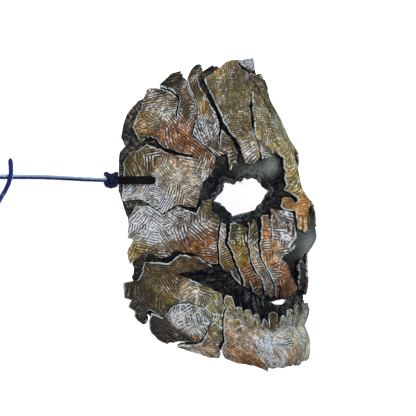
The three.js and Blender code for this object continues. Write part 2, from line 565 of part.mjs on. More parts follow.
for (const [name, side] of [['right', -1], ['left', 1]]) {
  add(cords, `strap_${name}`, strapGeometry(name, side), STRAP_BLACK);
  add(cords, `knot_${name}`, knotGeometry(name, side), KNOT_NAVY);
}
add(cords, 'lace_right', tubeGeometry(RIGHT_LACE, 20), LACE_BLUE);
add(cords, 'lace_left', tubeGeometry(LEFT_LACE, 6), LACE_BLUE);
add(cords, 'lace_end_right', tubeGeometry(FREE_END, 8), LACE_BLUE);
add(cords, 'coil_right', coilGeometry(RIGHT_COIL), LACE_BLUE);
add(cords, 'coil_left', coilGeometry(LEFT_COIL), LACE_BLUE);

// The origin is on the table under the middle of the mask's own box
const box = new THREE.Box3().setFromObject(mask, true);
const part = new THREE.Group();
part.add(mask, cords);
part.position.set(-(box.min.x + box.max.x) / 2, -(box.min.y + box.max.y) / 2, -box.min.z);

export default part;
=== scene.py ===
"""A leather full face mask lying face up: torn, scored and painted leather plates glued on a
black moulded shell, with a strap, a knot and a blue lace at each temple.

Lengths in this file are millimetres until `metres` turns them into the frame's own unit.
Pattern coordinates: s runs across the face from the midline, the wearer's right is negative,
h runs up the face from the chin, and lift is the height over the inside of the shell.
"""
import math

import bpy
import numpy as np
from mathutils import Matrix, Vector
from mathutils.geometry import delaunay_2d_cdt


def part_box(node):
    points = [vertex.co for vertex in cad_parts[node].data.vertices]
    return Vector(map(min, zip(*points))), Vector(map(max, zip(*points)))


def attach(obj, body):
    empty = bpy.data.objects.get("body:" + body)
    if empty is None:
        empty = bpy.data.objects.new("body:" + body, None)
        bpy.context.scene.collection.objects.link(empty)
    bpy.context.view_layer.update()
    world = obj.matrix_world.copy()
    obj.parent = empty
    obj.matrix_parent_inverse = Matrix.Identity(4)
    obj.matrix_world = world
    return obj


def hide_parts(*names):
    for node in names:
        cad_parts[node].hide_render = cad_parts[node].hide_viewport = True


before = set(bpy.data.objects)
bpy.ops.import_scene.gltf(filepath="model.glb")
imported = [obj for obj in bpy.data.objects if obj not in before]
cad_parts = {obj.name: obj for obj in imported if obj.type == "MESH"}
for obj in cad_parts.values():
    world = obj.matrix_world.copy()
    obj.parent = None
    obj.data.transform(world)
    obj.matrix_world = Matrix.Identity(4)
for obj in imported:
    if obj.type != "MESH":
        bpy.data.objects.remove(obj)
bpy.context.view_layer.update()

MM = 0.001
SIDES = (("right", -1), ("left", 1))

# Driving dimensions of the pattern and the leather
FACE_HEIGHT = 225
RIM = 150
PAST_RIM = RIM + 1
SHELL = 3.0
GLUE_GAP = 0.5
PLATE = 2.6
PLATE_BOTTOM = SHELL + GLUE_GAP
CURL = 1.4
NORMAL_STEP = 3
ROUNDNESS = 0.85
STRAP_HOLE_S = -129
STRAP_HOLE_RADIUS = 4
STRAP_HEIGHT = {"right": 136, "left": 141}

# Where the pattern's origin lies in the frame, read from the two straps' solids
right_low, right_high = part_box("strap_right")
_, left_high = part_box("strap_left")
PATTERN_ORIGIN = np.array([
    (right_low.x + left_high.x) / 2 / MM,
    (right_low.y + right_high.y) / 2 / MM - STRAP_HEIGHT["right"],
    0,
])


def metres(points):
    """Pattern space in millimetres to the frame in metres."""
    return (np.asarray(points, float) + PATTERN_ORIGIN) * MM


def add_object(name, data):
    """An object with the given data, linked into the scene."""
    made = bpy.data.objects.new(name, data)
    bpy.context.scene.collection.objects.link(made)
    return made


# Camera: 65 degrees off the front on the wearer's right, which is 25 degrees over the table
VIEW_TURN = math.radians(65)
VIEW_TARGET = (-37.4, 116.6, 49.9)
VIEW_DISTANCE = 1000
MM_PER_PIXEL = 0.72
IMAGE_PIXELS = 416
SENSOR = 36
view_right = Vector((math.cos(VIEW_TURN), 0, math.sin(VIEW_TURN)))
view_up = Vector((0, 1, 0))
view_back = Vector((-math.sin(VIEW_TURN), 0, math.cos(VIEW_TURN)))
camera_data = bpy.data.cameras.new("camera")
camera_data.sensor_width = SENSOR
camera_data.lens = SENSOR * VIEW_DISTANCE / MM_PER_PIXEL / IMAGE_PIXELS
camera_data.clip_start = 0.05
camera_data.clip_end = 20
camera = add_object("camera", camera_data)
camera.matrix_world = (
    Matrix.Translation(Vector(metres(VIEW_TARGET)) + view_back * VIEW_DISTANCE * MM)
    @ Matrix((view_right, view_up, view_back)).transposed().to_4x4()
)
bpy.context.scene.camera = camera


# Repeatable noise

# Large odd numbers that scatter the bits of a place and a seed
HASH_X, HASH_Y, HASH_SEED, HASH_MIX = 374761393, 668265263, 974634777, 1274126177
WORD, HALF_WORD = 0xFFFFFFFF, 0xFFFF
OCTAVES = 3
CELL_MARGIN, CELL_ROOM = 0.15, 0.7      # where a cell's middle may lie in its square


def lattice(ix, iy, seed):
    """A number from 0 to 1 for each pair of whole numbers."""
    mixed = ix.astype(np.int64) * HASH_X + iy.astype(np.int64) * HASH_Y + seed * HASH_SEED
    mixed &= WORD
    mixed = ((mixed ^ (mixed >> 13)) * HASH_MIX) & WORD
    return ((mixed ^ (mixed >> 16)) & HALF_WORD) / HALF_WORD


def noise(x, y, seed):
    """Smooth noise from 0 to 1, with features about one unit across."""
    ix, iy = np.floor(x), np.floor(y)
    fx, fy = x - ix, y - iy
    fx, fy = fx * fx * (3 - 2 * fx), fy * fy * (3 - 2 * fy)
    low = lattice(ix, iy, seed) * (1 - fx) + lattice(ix + 1, iy, seed) * fx
    high = lattice(ix, iy + 1, seed) * (1 - fx) + lattice(ix + 1, iy + 1, seed) * fx
    return low * (1 - fy) + high * fy


def rough_noise(x, y, size, seed):
    """Noise with finer noise laid over it. `size` is a feature's width, or its width and height."""
    wide, high = np.broadcast_to(size, 2)
    total, share = 0, 0
    for k in range(OCTAVES):
        total = total + noise(x / wide * 2 ** k, y / high * 2 ** k, seed + k) / 2 ** k
        share += 1 / 2 ** k
    return total / share


def swing(x, y, size, seed):
    """Rough noise that runs from -0.5 to 0.5."""
    return rough_noise(x, y, size, seed) - 0.5


def cells(x, y, seed):
    """Cracked cells one unit across: a number for each cell, and how near its border is."""
    ix, iy = np.floor(x), np.floor(y)
    best, second = np.full((2, *x.shape), 9.0)
    cell = np.zeros(x.shape)
    for dx in (-1, 0, 1):
        for dy in (-1, 0, 1):
            cx, cy = ix + dx, iy + dy
            px = cx + CELL_MARGIN + CELL_ROOM * lattice(cx, cy, seed)
            py = cy + CELL_MARGIN + CELL_ROOM * lattice(cx, cy, seed + 1)
            away = np.hypot(x - px, y - py)
            nearer = away < best
            second = np.where(nearer, best, np.minimum(second, away))
            cell = np.where(nearer, lattice(cx, cy, seed + 2), cell)
            best = np.where(nearer, away, best)
    return cell, second - best


# Curves and colours

def smooth_step(low, high, x):
    t = np.clip((x - low) / (high - low), 0, 1)
    return t * t * (3 - 2 * t)


def bell(x, centre, width):
    """1 at the centre, and next to nothing two widths away."""
    return np.exp(-((x - centre) / width) ** 2)


def oval(x, y, at_x, at_y, radius_x, radius_y):
    """1 in the middle of an oval patch, and next to nothing two radii away."""
    return np.exp(-((x - at_x) / radius_x) ** 2 - ((y - at_y) / radius_y) ** 2)


def full_turn(count, start=0):
    """Evenly spaced angles all the way round."""
    return 2 * math.pi * (np.arange(count) + start) / count


def unit(vectors):
    return vectors / np.linalg.norm(vectors, axis=-1, keepdims=True)


def srgb(red, green, blue):
    """A colour given as 0 to 255 on a screen, as the light it stands for."""
    c = np.array([red, green, blue]) / 255
    return np.where(c <= 0.04045, c / 12.92, ((c + 0.055) / 1.055) ** 2.4)


def mix(colour, over, amount):
    """A colour with another one painted over it. `amount` runs from 0 to 1 at each point."""
    amount = amount[..., None]
    return colour * (1 - amount) + over * amount


# The face: the same form as the solids, worked out for whole arrays of points

# h, half width at the rim, rim depth, depth at the midline
STATIONS = [
    (0, 9, 84, 88), (4, 22, 72, 98), (12, 40, 44, 105), (22, 51, 22, 105.5), (34, 59, 8, 103.5),
    (48, 65, 0, 103), (64, 70, 0, 102), (85, 74, 0, 100.5), (108, 77, 0, 97),
    (128, 77.5, 0, 93.5), (145, 77, 0, 92), (160, 75, 0, 87.5), (178, 71, 1, 80.2),
    (195, 64, 11, 70.5), (208, 54, 22, 65), (218, 40, 38, 62), (225, 24, 55, 60),
]
NOSE_RISE = [(78, 0), (84, 4), (90, 12), (97, 15.8), (104, 15.8), (113, 14.5), (128, 9),
             (142, 5), (158, 0)]
NOSE_HALF = [(78, 16), (88, 18), (97, 18), (104, 16), (113, 13), (128, 10), (145, 9)]
NOSE_FOOT = (0.15, 1.35)
# rise, distance from the midline, h, radius across, radius up
FORMS = [
    (4.0, 34, 150, 26, 12), (-13.0, 37, 127, 19, 15), (4.0, 60, 108, 18, 14),
    (-5.0, 62, 74, 20, 14), (-3.0, 0, 52, 34, 5), (-5.0, 0, 29, 28, 7),
]


def monotone_curve(points):
    """A smooth curve through points, which never overshoots them."""
    xs, ys = np.array(points, float).T
    secants = np.diff(ys) / np.diff(xs)
    slopes = np.concatenate([secants[:1], np.zeros(len(xs) - 2), secants[-1:]])
    product = secants[:-1] * secants[1:]
    total = np.where(product > 0, secants[:-1] + secants[1:], 1)
    slopes[1:-1] = np.where(product > 0, 2 * product / total, 0)

    def curve(x):
        held = np.clip(x, xs[0], xs[-1])
        i = np.clip(np.searchsorted(xs, held) - 1, 0, len(xs) - 2)
        width = xs[i + 1] - xs[i]
        t = (held - xs[i]) / width
        return (ys[i] * (2 * t ** 3 - 3 * t ** 2 + 1) + ys[i + 1] * (3 * t ** 2 - 2 * t ** 3)
                + width * (slopes[i] * (t ** 3 - 2 * t ** 2 + t)
                           + slopes[i + 1] * (t ** 3 - t ** 2)))
    return curve


half_width, rim_depth, front_depth = (
    monotone_curve([(row[0], row[k]) for row in STATIONS]) for k in (1, 2, 3))
nose_rise = monotone_curve(NOSE_RISE)
nose_half = monotone_curve(NOSE_HALF)


def face_point(s, h):
    """The inside face of the shell, in pattern space."""
    angle = (math.pi / 2) * s / RIM
    x = half_width(h) * np.sin(angle)
    cosine = np.maximum(np.cos(angle), 0)
    z = rim_depth(h) + (front_depth(h) - rim_depth(h)) * cosine ** ROUNDNESS
    across = np.abs(x)
    swell = 0
    for rise, *place_and_radii in FORMS:
        swell = swell + rise * oval(across, h, *place_and_radii)
    x = x + swell * np.sin(angle)
    z = z + swell * np.cos(angle)
    z = z + nose_rise(h) * (1 - smooth_step(*NOSE_FOOT, np.abs(x) / nose_half(h)))
    return np.stack([x, h, z], -1)


def face_normal(s, h):
    east, west = np.minimum(s + NORMAL_STEP, RIM), np.maximum(s - NORMAL_STEP, -RIM)
    north, south = np.minimum(h + NORMAL_STEP, FACE_HEIGHT), np.maximum(h - NORMAL_STEP, 0)
    normal = np.cross(face_point(east, h) - face_point(west, h),
                      face_point(s, north) - face_point(s, south))
    normal[..., 2] = np.where(np.abs(s) > RIM - 0.01, 0, normal[..., 2])
    return unit(normal)


def place(s, h, lift):
    """Pattern points lifted off the inside of the shell, in the frame in metres."""
    return metres(face_point(s, h) + face_normal(s, h) * lift[..., None])


# The wearer's left side is a little different from the right

SIDE_SHIFT = 2.6


def mirrored(outline):
    return [(-s, h) for s, h in outline]


def symmetric(right_half):
    return right_half + mirrored(right_half)[::-1]


def shift_left(outline):
    """An outline as an array, with its points on the left side moved a little."""
    s, h = np.array(outline, float).T
    fade = np.where((s > 0) & (s < RIM), SIDE_SHIFT * np.sin(math.pi * s / RIM), 0)
    return np.stack([s + fade * np.sin(h / 17 + 1.2), h + fade * np.sin(s / 15 + h / 23)], -1)


def both_sides(outline):
    """A right side's outline as an array, and its near copy on the left."""
    return {"right": np.array(outline, float), "left": shift_left(mirrored(outline))}


# Outlines in pattern coordinates, the wearer's right side

FOREHEAD_SLAB = [
    (-90.5, 205.5), (-87.2, 208.2), (-84, 211), (-81.4, 214), (-80.4, 218), (-78.6, 221.6),
    (-73, 224.3), (-66, 224.3), (-48, 218.6), (-22, 214.4), (4, 212.6), (14, 210), (19, 205.5),
    (17, 199.6), (28, 182), (36, 160), (33, 153.4), (18, 155), (9.3, 147), (8.8, 133),
    (5, 124.4), (15.5, 119), (20, 116), (11.5, 113.4), (13, 105), (11, 102), (5, 114), (0, 119),
    (-5, 111), (-9.3, 98), (-13.8, 100.3), (-11, 112.4), (-13.4, 112.6), (-16, 113.4),
    (-16.5, 115.2), (-15.4, 118), (-11.5, 123.3), (-9.4, 122.6), (-7.6, 118.2), (-5.8, 119.6),
    (-7.2, 125), (-10.2, 128.8), (-8.5, 132.2), (-9.8, 138), (-9, 143.4), (-12.3, 145.8),
    (-9.4, 151.3), (-14, 151.3), (-19.2, 153.5), (-24.2, 155.8), (-27.8, 153), (-33, 151.6),
    (-41.6, 151), (-41.2, 155.5), (-40, 160.2), (-38, 166.8), (-36.4, 172.6), (-33.4, 179),
    (-29, 185.4), (-22, 192.2), (-16.6, 197), (-18, 198.4), (-23, 195.6), (-28.6, 191),
    (-33.4, 186), (-37.2, 180.6), (-39.6, 175), (-40.4, 168), (-42.2, 159.5), (-44, 151.2),
    (-49.2, 149.2), (-53.8, 148.3), (-57.8, 149), (-59.3, 153), (-59.3, 157.4), (-61.5, 163.3),
    (-65.6, 168.6), (-68.6, 175), (-70.6, 183), (-73.4, 188.8), (-77.4, 194.4), (-84, 201.2),
]
FOREHEAD_LEFT = [
    (38.5, 157), (42, 151), (54, 149), (60, 154), (61, 163), (68, 175), (73, 190), (86, 201),
    (96, 206.5), (87, 211.5), (76, 214.8), (56, 214.6), (26, 212.6), (22, 207), (20.2, 199.5),
    (30.4, 184), (37, 170),
]
CROWN_SLIVER = [
    (-43, 222.4), (-38, 224.4), (-8, 224.4), (-7.5, 220.4), (-2.4, 217), (-7, 215.4),
    (-12, 214.9), (-25, 218),
]
FOREHEAD_FLANK = [
    (-112, 205.2), (-114.5, 209), (-118.8, 212.4), (-121.5, 214.6), (-117, 215.4), (-108.8, 214),
    (-99, 211.5), (-100, 206), (-84.5, 194.5), (-76.2, 184), (-73.4, 176), (-74.6, 168.5),
    (-77.2, 161), (-76.5, 159.2), (-74.2, 164.5), (-72.2, 169.4), (-69.5, 166.8), (-66.5, 163.8),
    (-65, 160), (-64.2, 155.5), (-62.8, 153.4), (-65.6, 150.2), (-65.2, 148.2), (-71, 145.3),
    (-72, 153.2), (-80, 151.5), (-87, 157.5), (-94.5, 164.2), (-96.8, 167.2), (-94, 174),
    (-91.2, 181), (-90.8, 184), (-91.8, 188.2), (-96, 192.4), (-103.6, 198.4), (-107.6, 202.2),
]
TEMPLE_PLATE = [
    (-147.5, 197.5), (-145.8, 198.5), (-136.5, 198.5), (-128.2, 197.5), (-121.8, 196),
    (-116.5, 194), (-112.2, 191.8), (-110.2, 189.5), (-110.5, 186.2), (-109.8, 183.8),
    (-110, 178), (-109.2, 177.2), (-108.3, 180.3), (-108.2, 183.2), (-109, 187.3), (-109, 190),
    (-111, 192.8), (-116, 195.4), (-123.2, 197.6), (-131, 199.2), (-137.8, 200.2), (-137, 203.2),
    (-138, 207.5), (-135.2, 209), (-128.8, 209.3), (-122.8, 208.3), (-115.8, 206.2),
    (-112.7, 205), (-108.2, 202), (-104.2, 198), (-96.6, 192), (-93, 188.2), (-92, 184),
    (-92.5, 181), (-95.2, 174), (-98, 167), (-95.5, 163.5), (-88, 156.5), (-81.5, 151),
    (-84, 144.5), (-93, 134), (-97, 122), (-99, 114.5), (-112, 118.3), (-121.3, 112.4),
    (-130.4, 118.4), (-135, 122), (-146.5, 121), (-146.5, 148), (-140.5, 155), (-131, 159.3),
    (-122.5, 156.5), (-111, 152), (-99, 151), (-98.6, 152.4), (-110, 154.5), (-120, 158.2),
    (-125.5, 163.8), (-130, 165.5), (-136, 162.3), (-142, 172), (-139.5, 184.5),
]
CHEEK_PLATE = [
    (-131, 117.4), (-139, 116.6), (-143, 109.8), (-145, 97), (-142, 96.3), (-146.6, 88.3),
    (-146.8, 78.3), (-138.5, 86), (-132, 87), (-126, 83.6), (-120, 86), (-116.5, 89.2),
    (-104.5, 88), (-91, 79.4), (-85.6, 79.4), (-86.8, 91), (-84.2, 106.8), (-88.5, 113),
    (-88.3, 120), (-93.5, 119.8), (-99.5, 111.3), (-111.8, 117.1), (-121.1, 111.4),
]
JAW_PLATE = [
    (-100.5, 84.9), (-114, 86.4), (-121.5, 80), (-133.5, 80.8), (-137.5, 81.3), (-141.5, 66),
    (-PAST_RIM, 63.5), (-PAST_RIM, 54), (-147.4, 52.6), (-148.4, 48.6), (-146.4, 45.4),
    (-147.8, 39.5), (-147, 36.8), (-144.2, 37.2), (-141.5, 40.2), (-139.3, 44.6), (-137.6, 46.6),
    (-135.4, 45.8), (-132, 42.3), (-127.7, 44.5), (-121.2, 50.3), (-118.1, 51.4), (-113.5, 52.2),
    (-105.4, 49.9), (-100, 47.5), (-95.8, 42.3), (-98.7, 37.9), (-104.3, 32.5), (-115.6, 25.2),
    (-119.7, 23.6), (-129, 22.6), (-137.5, 23), (-141, 22), (-142.5, 20.2), (-132.2, 17.4),
    (-129, 14.6), (-123.2, 13.8), (-117.8, 15.2), (-109, 20.8), (-99.8, 25.8), (-94, 32.5),
    (-91.2, 38), (-89.2, 42.2), (-85.4, 47), (-87, 51), (-86.8, 56.6), (-101, 62.8), (-117, 70.3),
    (-98, 75.4), (-91, 77.4),
]
JAW_CORNER = [
    (-140, 39.8), (-137.2, 43.7), (-135, 43), (-131.6, 41.5), (-127.3, 43.9), (-120.8, 49.7),
    (-117.9, 50.6), (-113.5, 51.4), (-105.6, 49.1), (-100.4, 46.9), (-96.6, 42.1), (-99.3, 38.5),
    (-104.7, 33.1), (-116, 25.8), (-119.9, 24.6), (-127, 24.6), (-134.8, 25.4), (-141.2, 24.4),
    (-146, 22.8), (-148.2, 24.8), (-147, 30), (-145.2, 32.8),
]
CHEEK_STRIP_OUTER = [
    (-82.8, 105.8), (-79.7, 105), (-80.4, 93.5), (-73, 79.5), (-70.9, 73), (-70.4, 62.5),
    (-75.5, 68), (-76.5, 73), (-80, 72), (-84.2, 79.5), (-85.4, 91), (-83.6, 103),
]
CHEEK_STRIP_MIDDLE = [
    (-76.8, 106), (-67, 104), (-63.2, 101), (-63.5, 93.5), (-60.7, 80), (-58.4, 72),
    (-53.4, 67), (-53, 54), (-61.5, 58.5), (-62.5, 65), (-64.5, 60), (-68, 61), (-67.8, 66),
    (-69.1, 75), (-73.7, 85), (-78.4, 94), (-77.6, 101),
]
CHEEK_STRIP_INNER = [
    (-61, 105.5), (-57.5, 103.5), (-54.5, 106.5), (-52.9, 105), (-53.7, 90), (-51.9, 82),
    (-46.8, 72), (-41.8, 62.5), (-41.4, 56), (-45, 54), (-48, 57), (-51, 55.5), (-52, 67),
    (-56.4, 72.8), (-59.2, 80), (-62, 93.5), (-61.7, 100.5),
]
NOSE_SIDE_PLATE = [
    (-44.5, 108), (-36.5, 108.5), (-40.2, 96), (-41, 91), (-39.9, 91), (-36, 104),
    (-29.5, 113.2), (-14.5, 112.2), (-12.8, 110.5), (-15.4, 99.5), (-16, 92.5), (-18, 87.5),
    (-30.5, 80.3), (-23, 74.3), (-20.5, 67), (-13, 59.5), (-14, 56), (-20, 54.5), (-33, 53.5),
    (-35, 65.5), (-37, 54.5), (-40.1, 55), (-40.1, 62), (-45.4, 72), (-50.2, 82.5),
    (-51.4, 90), (-48.5, 100),
]
LIP_PLATE = [
    (-8, 58.5), (-6.5, 66), (-7.5, 74), (-4, 80), (0, 81.5), (4, 79), (7, 73), (6, 64), (7.5, 58),
]
EYE = [
    (-85.2, 121), (-79, 125.2), (-76, 128.2), (-73.8, 132), (-73.5, 135.2), (-66, 134.5),
    (-61.8, 135.2), (-61, 137), (-53.8, 140.2), (-49.5, 139.2), (-42.2, 139.2), (-38, 138.2),
    (-32, 135.8), (-27, 132.2), (-21.5, 128.8), (-28, 121.8), (-34.2, 117.8), (-44.5, 113.5),
    (-59, 111.8), (-72, 110.2), (-76.8, 114.5), (-80.5, 118.8),
]
MOUTH = [
    (-43, 49.2), (-34.8, 50.4), (-24.8, 50.8), (-19.2, 50.2), (-21.8, 48.8), (-28.8, 47), (-36, 47),
    (-40.2, 48.2),
]
BASE = symmetric([
    (-20, 222), (-45, 222), (-72, 219), (-83.2, 217), (-92, 217.8), (-101, 217.6), (-102.5, 213),
    (-110, 212.4), (-117.5, 212.8), (-116, 209), (-113, 204.5), (-118, 206), (-124, 207),
    (-134, 207.2), (-136, 203.5), (-142, 198), (-149.5, 192), (-PAST_RIM, 180), (-PAST_RIM, 170),
    (-148, 160), (-PAST_RIM, 152), (-PAST_RIM, 131), (-149, 124.8), (-147.2, 116.2),
    (-145, 108.2), (-142.5, 92), (-146.4, 80), (-145.6, 74.8), (-146.6, 68), (-145, 58),
    (-140, 38), (-144, 29), (-132, 20.5), (-110, 17), (-88, 12.5), (-60, 11.5), (-20, 12),
])

# The chin's top edge is a row of teeth: from and to across, the tip, and the cut after it
TEETH = [
    (-85.6, -79, 56, 48.6), (-78, -72.8, 47.8, 42), (-71.2, -65.5, 45.6, 38),
    (-64.5, -59.4, 42.6, 34), (-57, -53.2, 39.5, 33), (-50.6, -41, 43.2, 35),
    (-37.2, -31, 40.6, 37), (-29.2, -22.6, 44.2, 38.5), (-18.6, -9, 45.6, 38.5),
]
TOOTH_SHOULDER, TOOTH_TAPER = 1, 0.4
TOOTH_CUT = 0.9      # how far past a tooth its cut lies
tooth_row = [point for start, end, tip, cut in TEETH for point in (
    (start + TOOTH_TAPER, tip - TOOTH_SHOULDER), ((start + end) / 2, tip),
    (end - TOOTH_TAPER, tip - TOOTH_SHOULDER), (end + TOOTH_CUT, cut),
)]
CHIN_END = [
    (-37.8, 7.6), (-50, 6.6), (-70, 7.2), (-82.5, 6.6), (-88.5, 5.4), (-92, 7.4), (-102.8, 9),
    (-112, 11.6), (-116.6, 14.2), (-108, 19.8), (-98.9, 24.9), (-93, 31.8), (-90.1, 37.6),
    (-88.2, 41.5), (-84.3, 46.4), (-85.8, 50.6),
]
CHIN_PLATE = symmetric([(-20, 8.8)] + CHIN_END + tooth_row + [(-5, 44.6), (-2, 46)])

HOLE_SIDES = 24
HOLE_FIT = 0.81      # the leather has closed in round the strap
fitted_hole = STRAP_HOLE_RADIUS * HOLE_FIT
strap_hole = {
    name: np.array([(side * -(STRAP_HOLE_S + fitted_hole * math.cos(angle)),
                     STRAP_HEIGHT[name] + fitted_hole * math.sin(angle))
                    for angle in full_turn(HOLE_SIDES)])
    for name, side in SIDES
}


# Torn edges, which wander alike on both sides of a crack

TORN_STEP = 0.9
WANDER_SIZE = 3.2
JITTER, JITTER_SIZE = 0.3, 1.5
END_GAP = 0.4      # how far an edge stays from the pattern's top and bottom


def torn(outline, seed, wander=0.7):
    """A torn edge: short steps that wander off the straight run, and stay inside the rim."""
    points = []
    for start, end in zip(outline, np.roll(outline, -1, 0)):
        run = end - start
        count = max(1, round(np.hypot(*run) / TORN_STEP))
        points.append(start + run * (np.arange(count) / count)[:, None])
    points = np.concatenate(points)
    s, h = points.T
    shift = [2 * wander * swing(s, h, WANDER_SIZE, key)
             + JITTER * (noise(s / JITTER_SIZE, h / JITTER_SIZE, seed + key) - 0.5)
             for key in (1, 2)]
    return np.clip(points + np.stack(shift, -1), (-RIM, END_GAP), (RIM, FACE_HEIGHT - END_GAP))


def inside(outline, x, y):
    """Whether each point lies inside an outline."""
    found = np.zeros(x.shape, bool)
    for (x0, y0), (x1, y1) in zip(outline, np.roll(outline, -1, 0)):
        if y0 == y1:
            continue
        crosses = (y0 > y) != (y1 > y)
        found ^= crosses & (x < (x1 - x0) * (y - y0) / (y1 - y0) + x0)
    return found


def in_sheet(outline, holes, x, y):
    """Whether each point lies inside an outline and outside its holes."""
    found = inside(outline, x, y)
    for hole in holes:
        found &= ~inside(hole, x, y)
    return found


def edge_field(outline, x, y):
    """The distance from each point to an outline, and the way to its nearest place."""
    nearest = np.full(x.shape, 1e9)
    way_x, way_y = np.zeros((2, *x.shape))
    for (x0, y0), (x1, y1) in zip(outline, np.roll(outline, -1, 0)):
        dx, dy = x1 - x0, y1 - y0
        t = np.clip(((x - x0) * dx + (y - y0) * dy) / max(dx * dx + dy * dy, 1e-9), 0, 1)
        to_x, to_y = x0 + t * dx - x, y0 + t * dy - y
        away = np.hypot(to_x, to_y)
        nearer = away < nearest
        nearest = np.where(nearer, away, nearest)
        way_x, way_y = np.where(nearer, to_x, way_x), np.where(nearer, to_y, way_y)
    length = np.maximum(nearest, 1e-6)
    return nearest, way_x / length, way_y / length


def edge_distance(outline, x, y):
    """The distance from each point to an outline."""
    return edge_field(outline, x, y)[0]


# Flat meshes

ROW_STEP = 0.866      # the height of a triangle with equal sides of 1
EDGE_CLEAR = 0.45      # how far the grid stays from the edges, in steps


def grid_inside(outline, holes, spacing):
    """Evenly spaced points inside an outline and clear of its holes."""
    low, high = outline.min(0), outline.max(0)
    rows = np.arange(low[1], high[1], spacing * ROW_STEP)
    x, y = np.meshgrid(np.arange(low[0], high[0], spacing), rows)
    x = x + (np.arange(len(rows)) % 2)[:, None] * spacing / 2
    x, y = x.ravel(), y.ravel()
    keep = in_sheet(outline, holes, x, y)
    for line in [outline] + holes:
        keep &= edge_distance(line, x, y) > spacing * EDGE_CLEAR
    return np.stack([x[keep], y[keep]], -1)


def flat_mesh(outline, holes, spacing, plain=None):
    """Triangles that fill an outline round its holes: points, triangles and border edges.

    `plain` is a wider spacing and a test for the points that it is good enough for.
    """
    grid = grid_inside(outline, holes, spacing)
    if plain:
        wide, hidden = plain
        coarse = grid_inside(outline, holes, wide)
        grid = np.concatenate([grid[~hidden(grid)], coarse[hidden(coarse)]])
    loops = [outline] + holes
    points = np.concatenate(loops + [grid])
    edges, start = [], 0
    for loop in loops:
        edges += [(start + k, start + (k + 1) % len(loop)) for k in range(len(loop))]
        start += len(loop)
    made = delaunay_2d_cdt([Vector(p) for p in points], edges, [], 0, 1e-5)
    points = np.array([p[:] for p in made[0]])
    triangles = np.array([f[:3] for f in made[2]])
    triangles = triangles[in_sheet(outline, holes, *points[triangles].mean(1).T)]
    a, b, c = points[triangles].transpose(1, 2, 0)
    flipped = (b - a)[0] * (c - a)[1] - (b - a)[1] * (c - a)[0] < 0
    triangles[flipped] = triangles[flipped][:, ::-1]
    sides = np.concatenate([triangles[:, [0, 1]], triangles[:, [1, 2]], triangles[:, [2, 0]]])
    known = set(map(tuple, sides.tolist()))
    border = np.array([(a, b) for a, b in known if (b, a) not in known])
    return points, triangles, border


def rounded(points):
    """A key for each point, which is the same for the same point of another mesh."""
    return [tuple(p) for p in np.round(points, 4)]


def add_mesh(name, points, faces, paint, material):
    """A smooth mesh on the frame's root body. `paint` is a colour for each point."""
    mesh = bpy.data.meshes.new(name)
    mesh.from_pydata(points.tolist(), [], faces)
    layer = mesh.attributes.new("paint", "FLOAT_COLOR", "POINT")
    opaque = np.concatenate([paint, np.ones((len(paint), 1))], 1).astype(np.float32)
    layer.data.foreach_set("color", opaque.ravel())
    mesh.polygons.foreach_set("use_smooth", [True] * len(mesh.polygons))
    mesh.update()
    mesh.materials.append(material)
    piece = add_object(name, mesh)
    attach(piece, "root")
    return piece


# Paints, as they look on a screen
OLIVE = srgb(100, 90, 65)
DEEP_OLIVE = srgb(80, 70, 45)
YELLOW_OLIVE = srgb(125, 115, 80)
SAGE = srgb(135, 130, 95)
STRAW = srgb(175, 160, 115)
GOLD = srgb(135, 115, 65)
AMBER = srgb(110, 90, 55)
RUST = srgb(115, 80, 55)
ORANGE = srgb(160, 120, 80)
BROWN = srgb(85, 70, 50)
UMBER = srgb(40, 35, 30)
GREY = srgb(110, 105, 100)
WARM_GREY = srgb(130, 120, 105)
BONE = srgb(150, 140, 120)
GREEN_GREY = srgb(135, 140, 125)
PALE_GREEN = srgb(160, 165, 145)
PINK_BONE = srgb(150, 130, 110)
SILVER = srgb(160, 160, 160)
WHITE = srgb(210, 215, 225)
CREAM = srgb(205, 200, 185)
EDGE_WHITE = srgb(205, 220, 225)
SCORED_BLACK = srgb(12, 11, 9)
CUT_BROWN = srgb(75, 55, 40)
# painted shade on the plates' undersides
UNDERSIDE_SHADE = srgb(8, 9, 11)
SHELL_BLACK = srgb(6, 7, 11)
# painted sheen for the black shell
SHELL_SHEEN = srgb(85, 92, 98)
# painted highlight in the recess under the brows
BROW_HIGHLIGHT_GREY = srgb(125, 130, 125)
NOSE_GREY = srgb(90, 97, 99)
FLESH_SIDE = srgb(240, 238, 240)

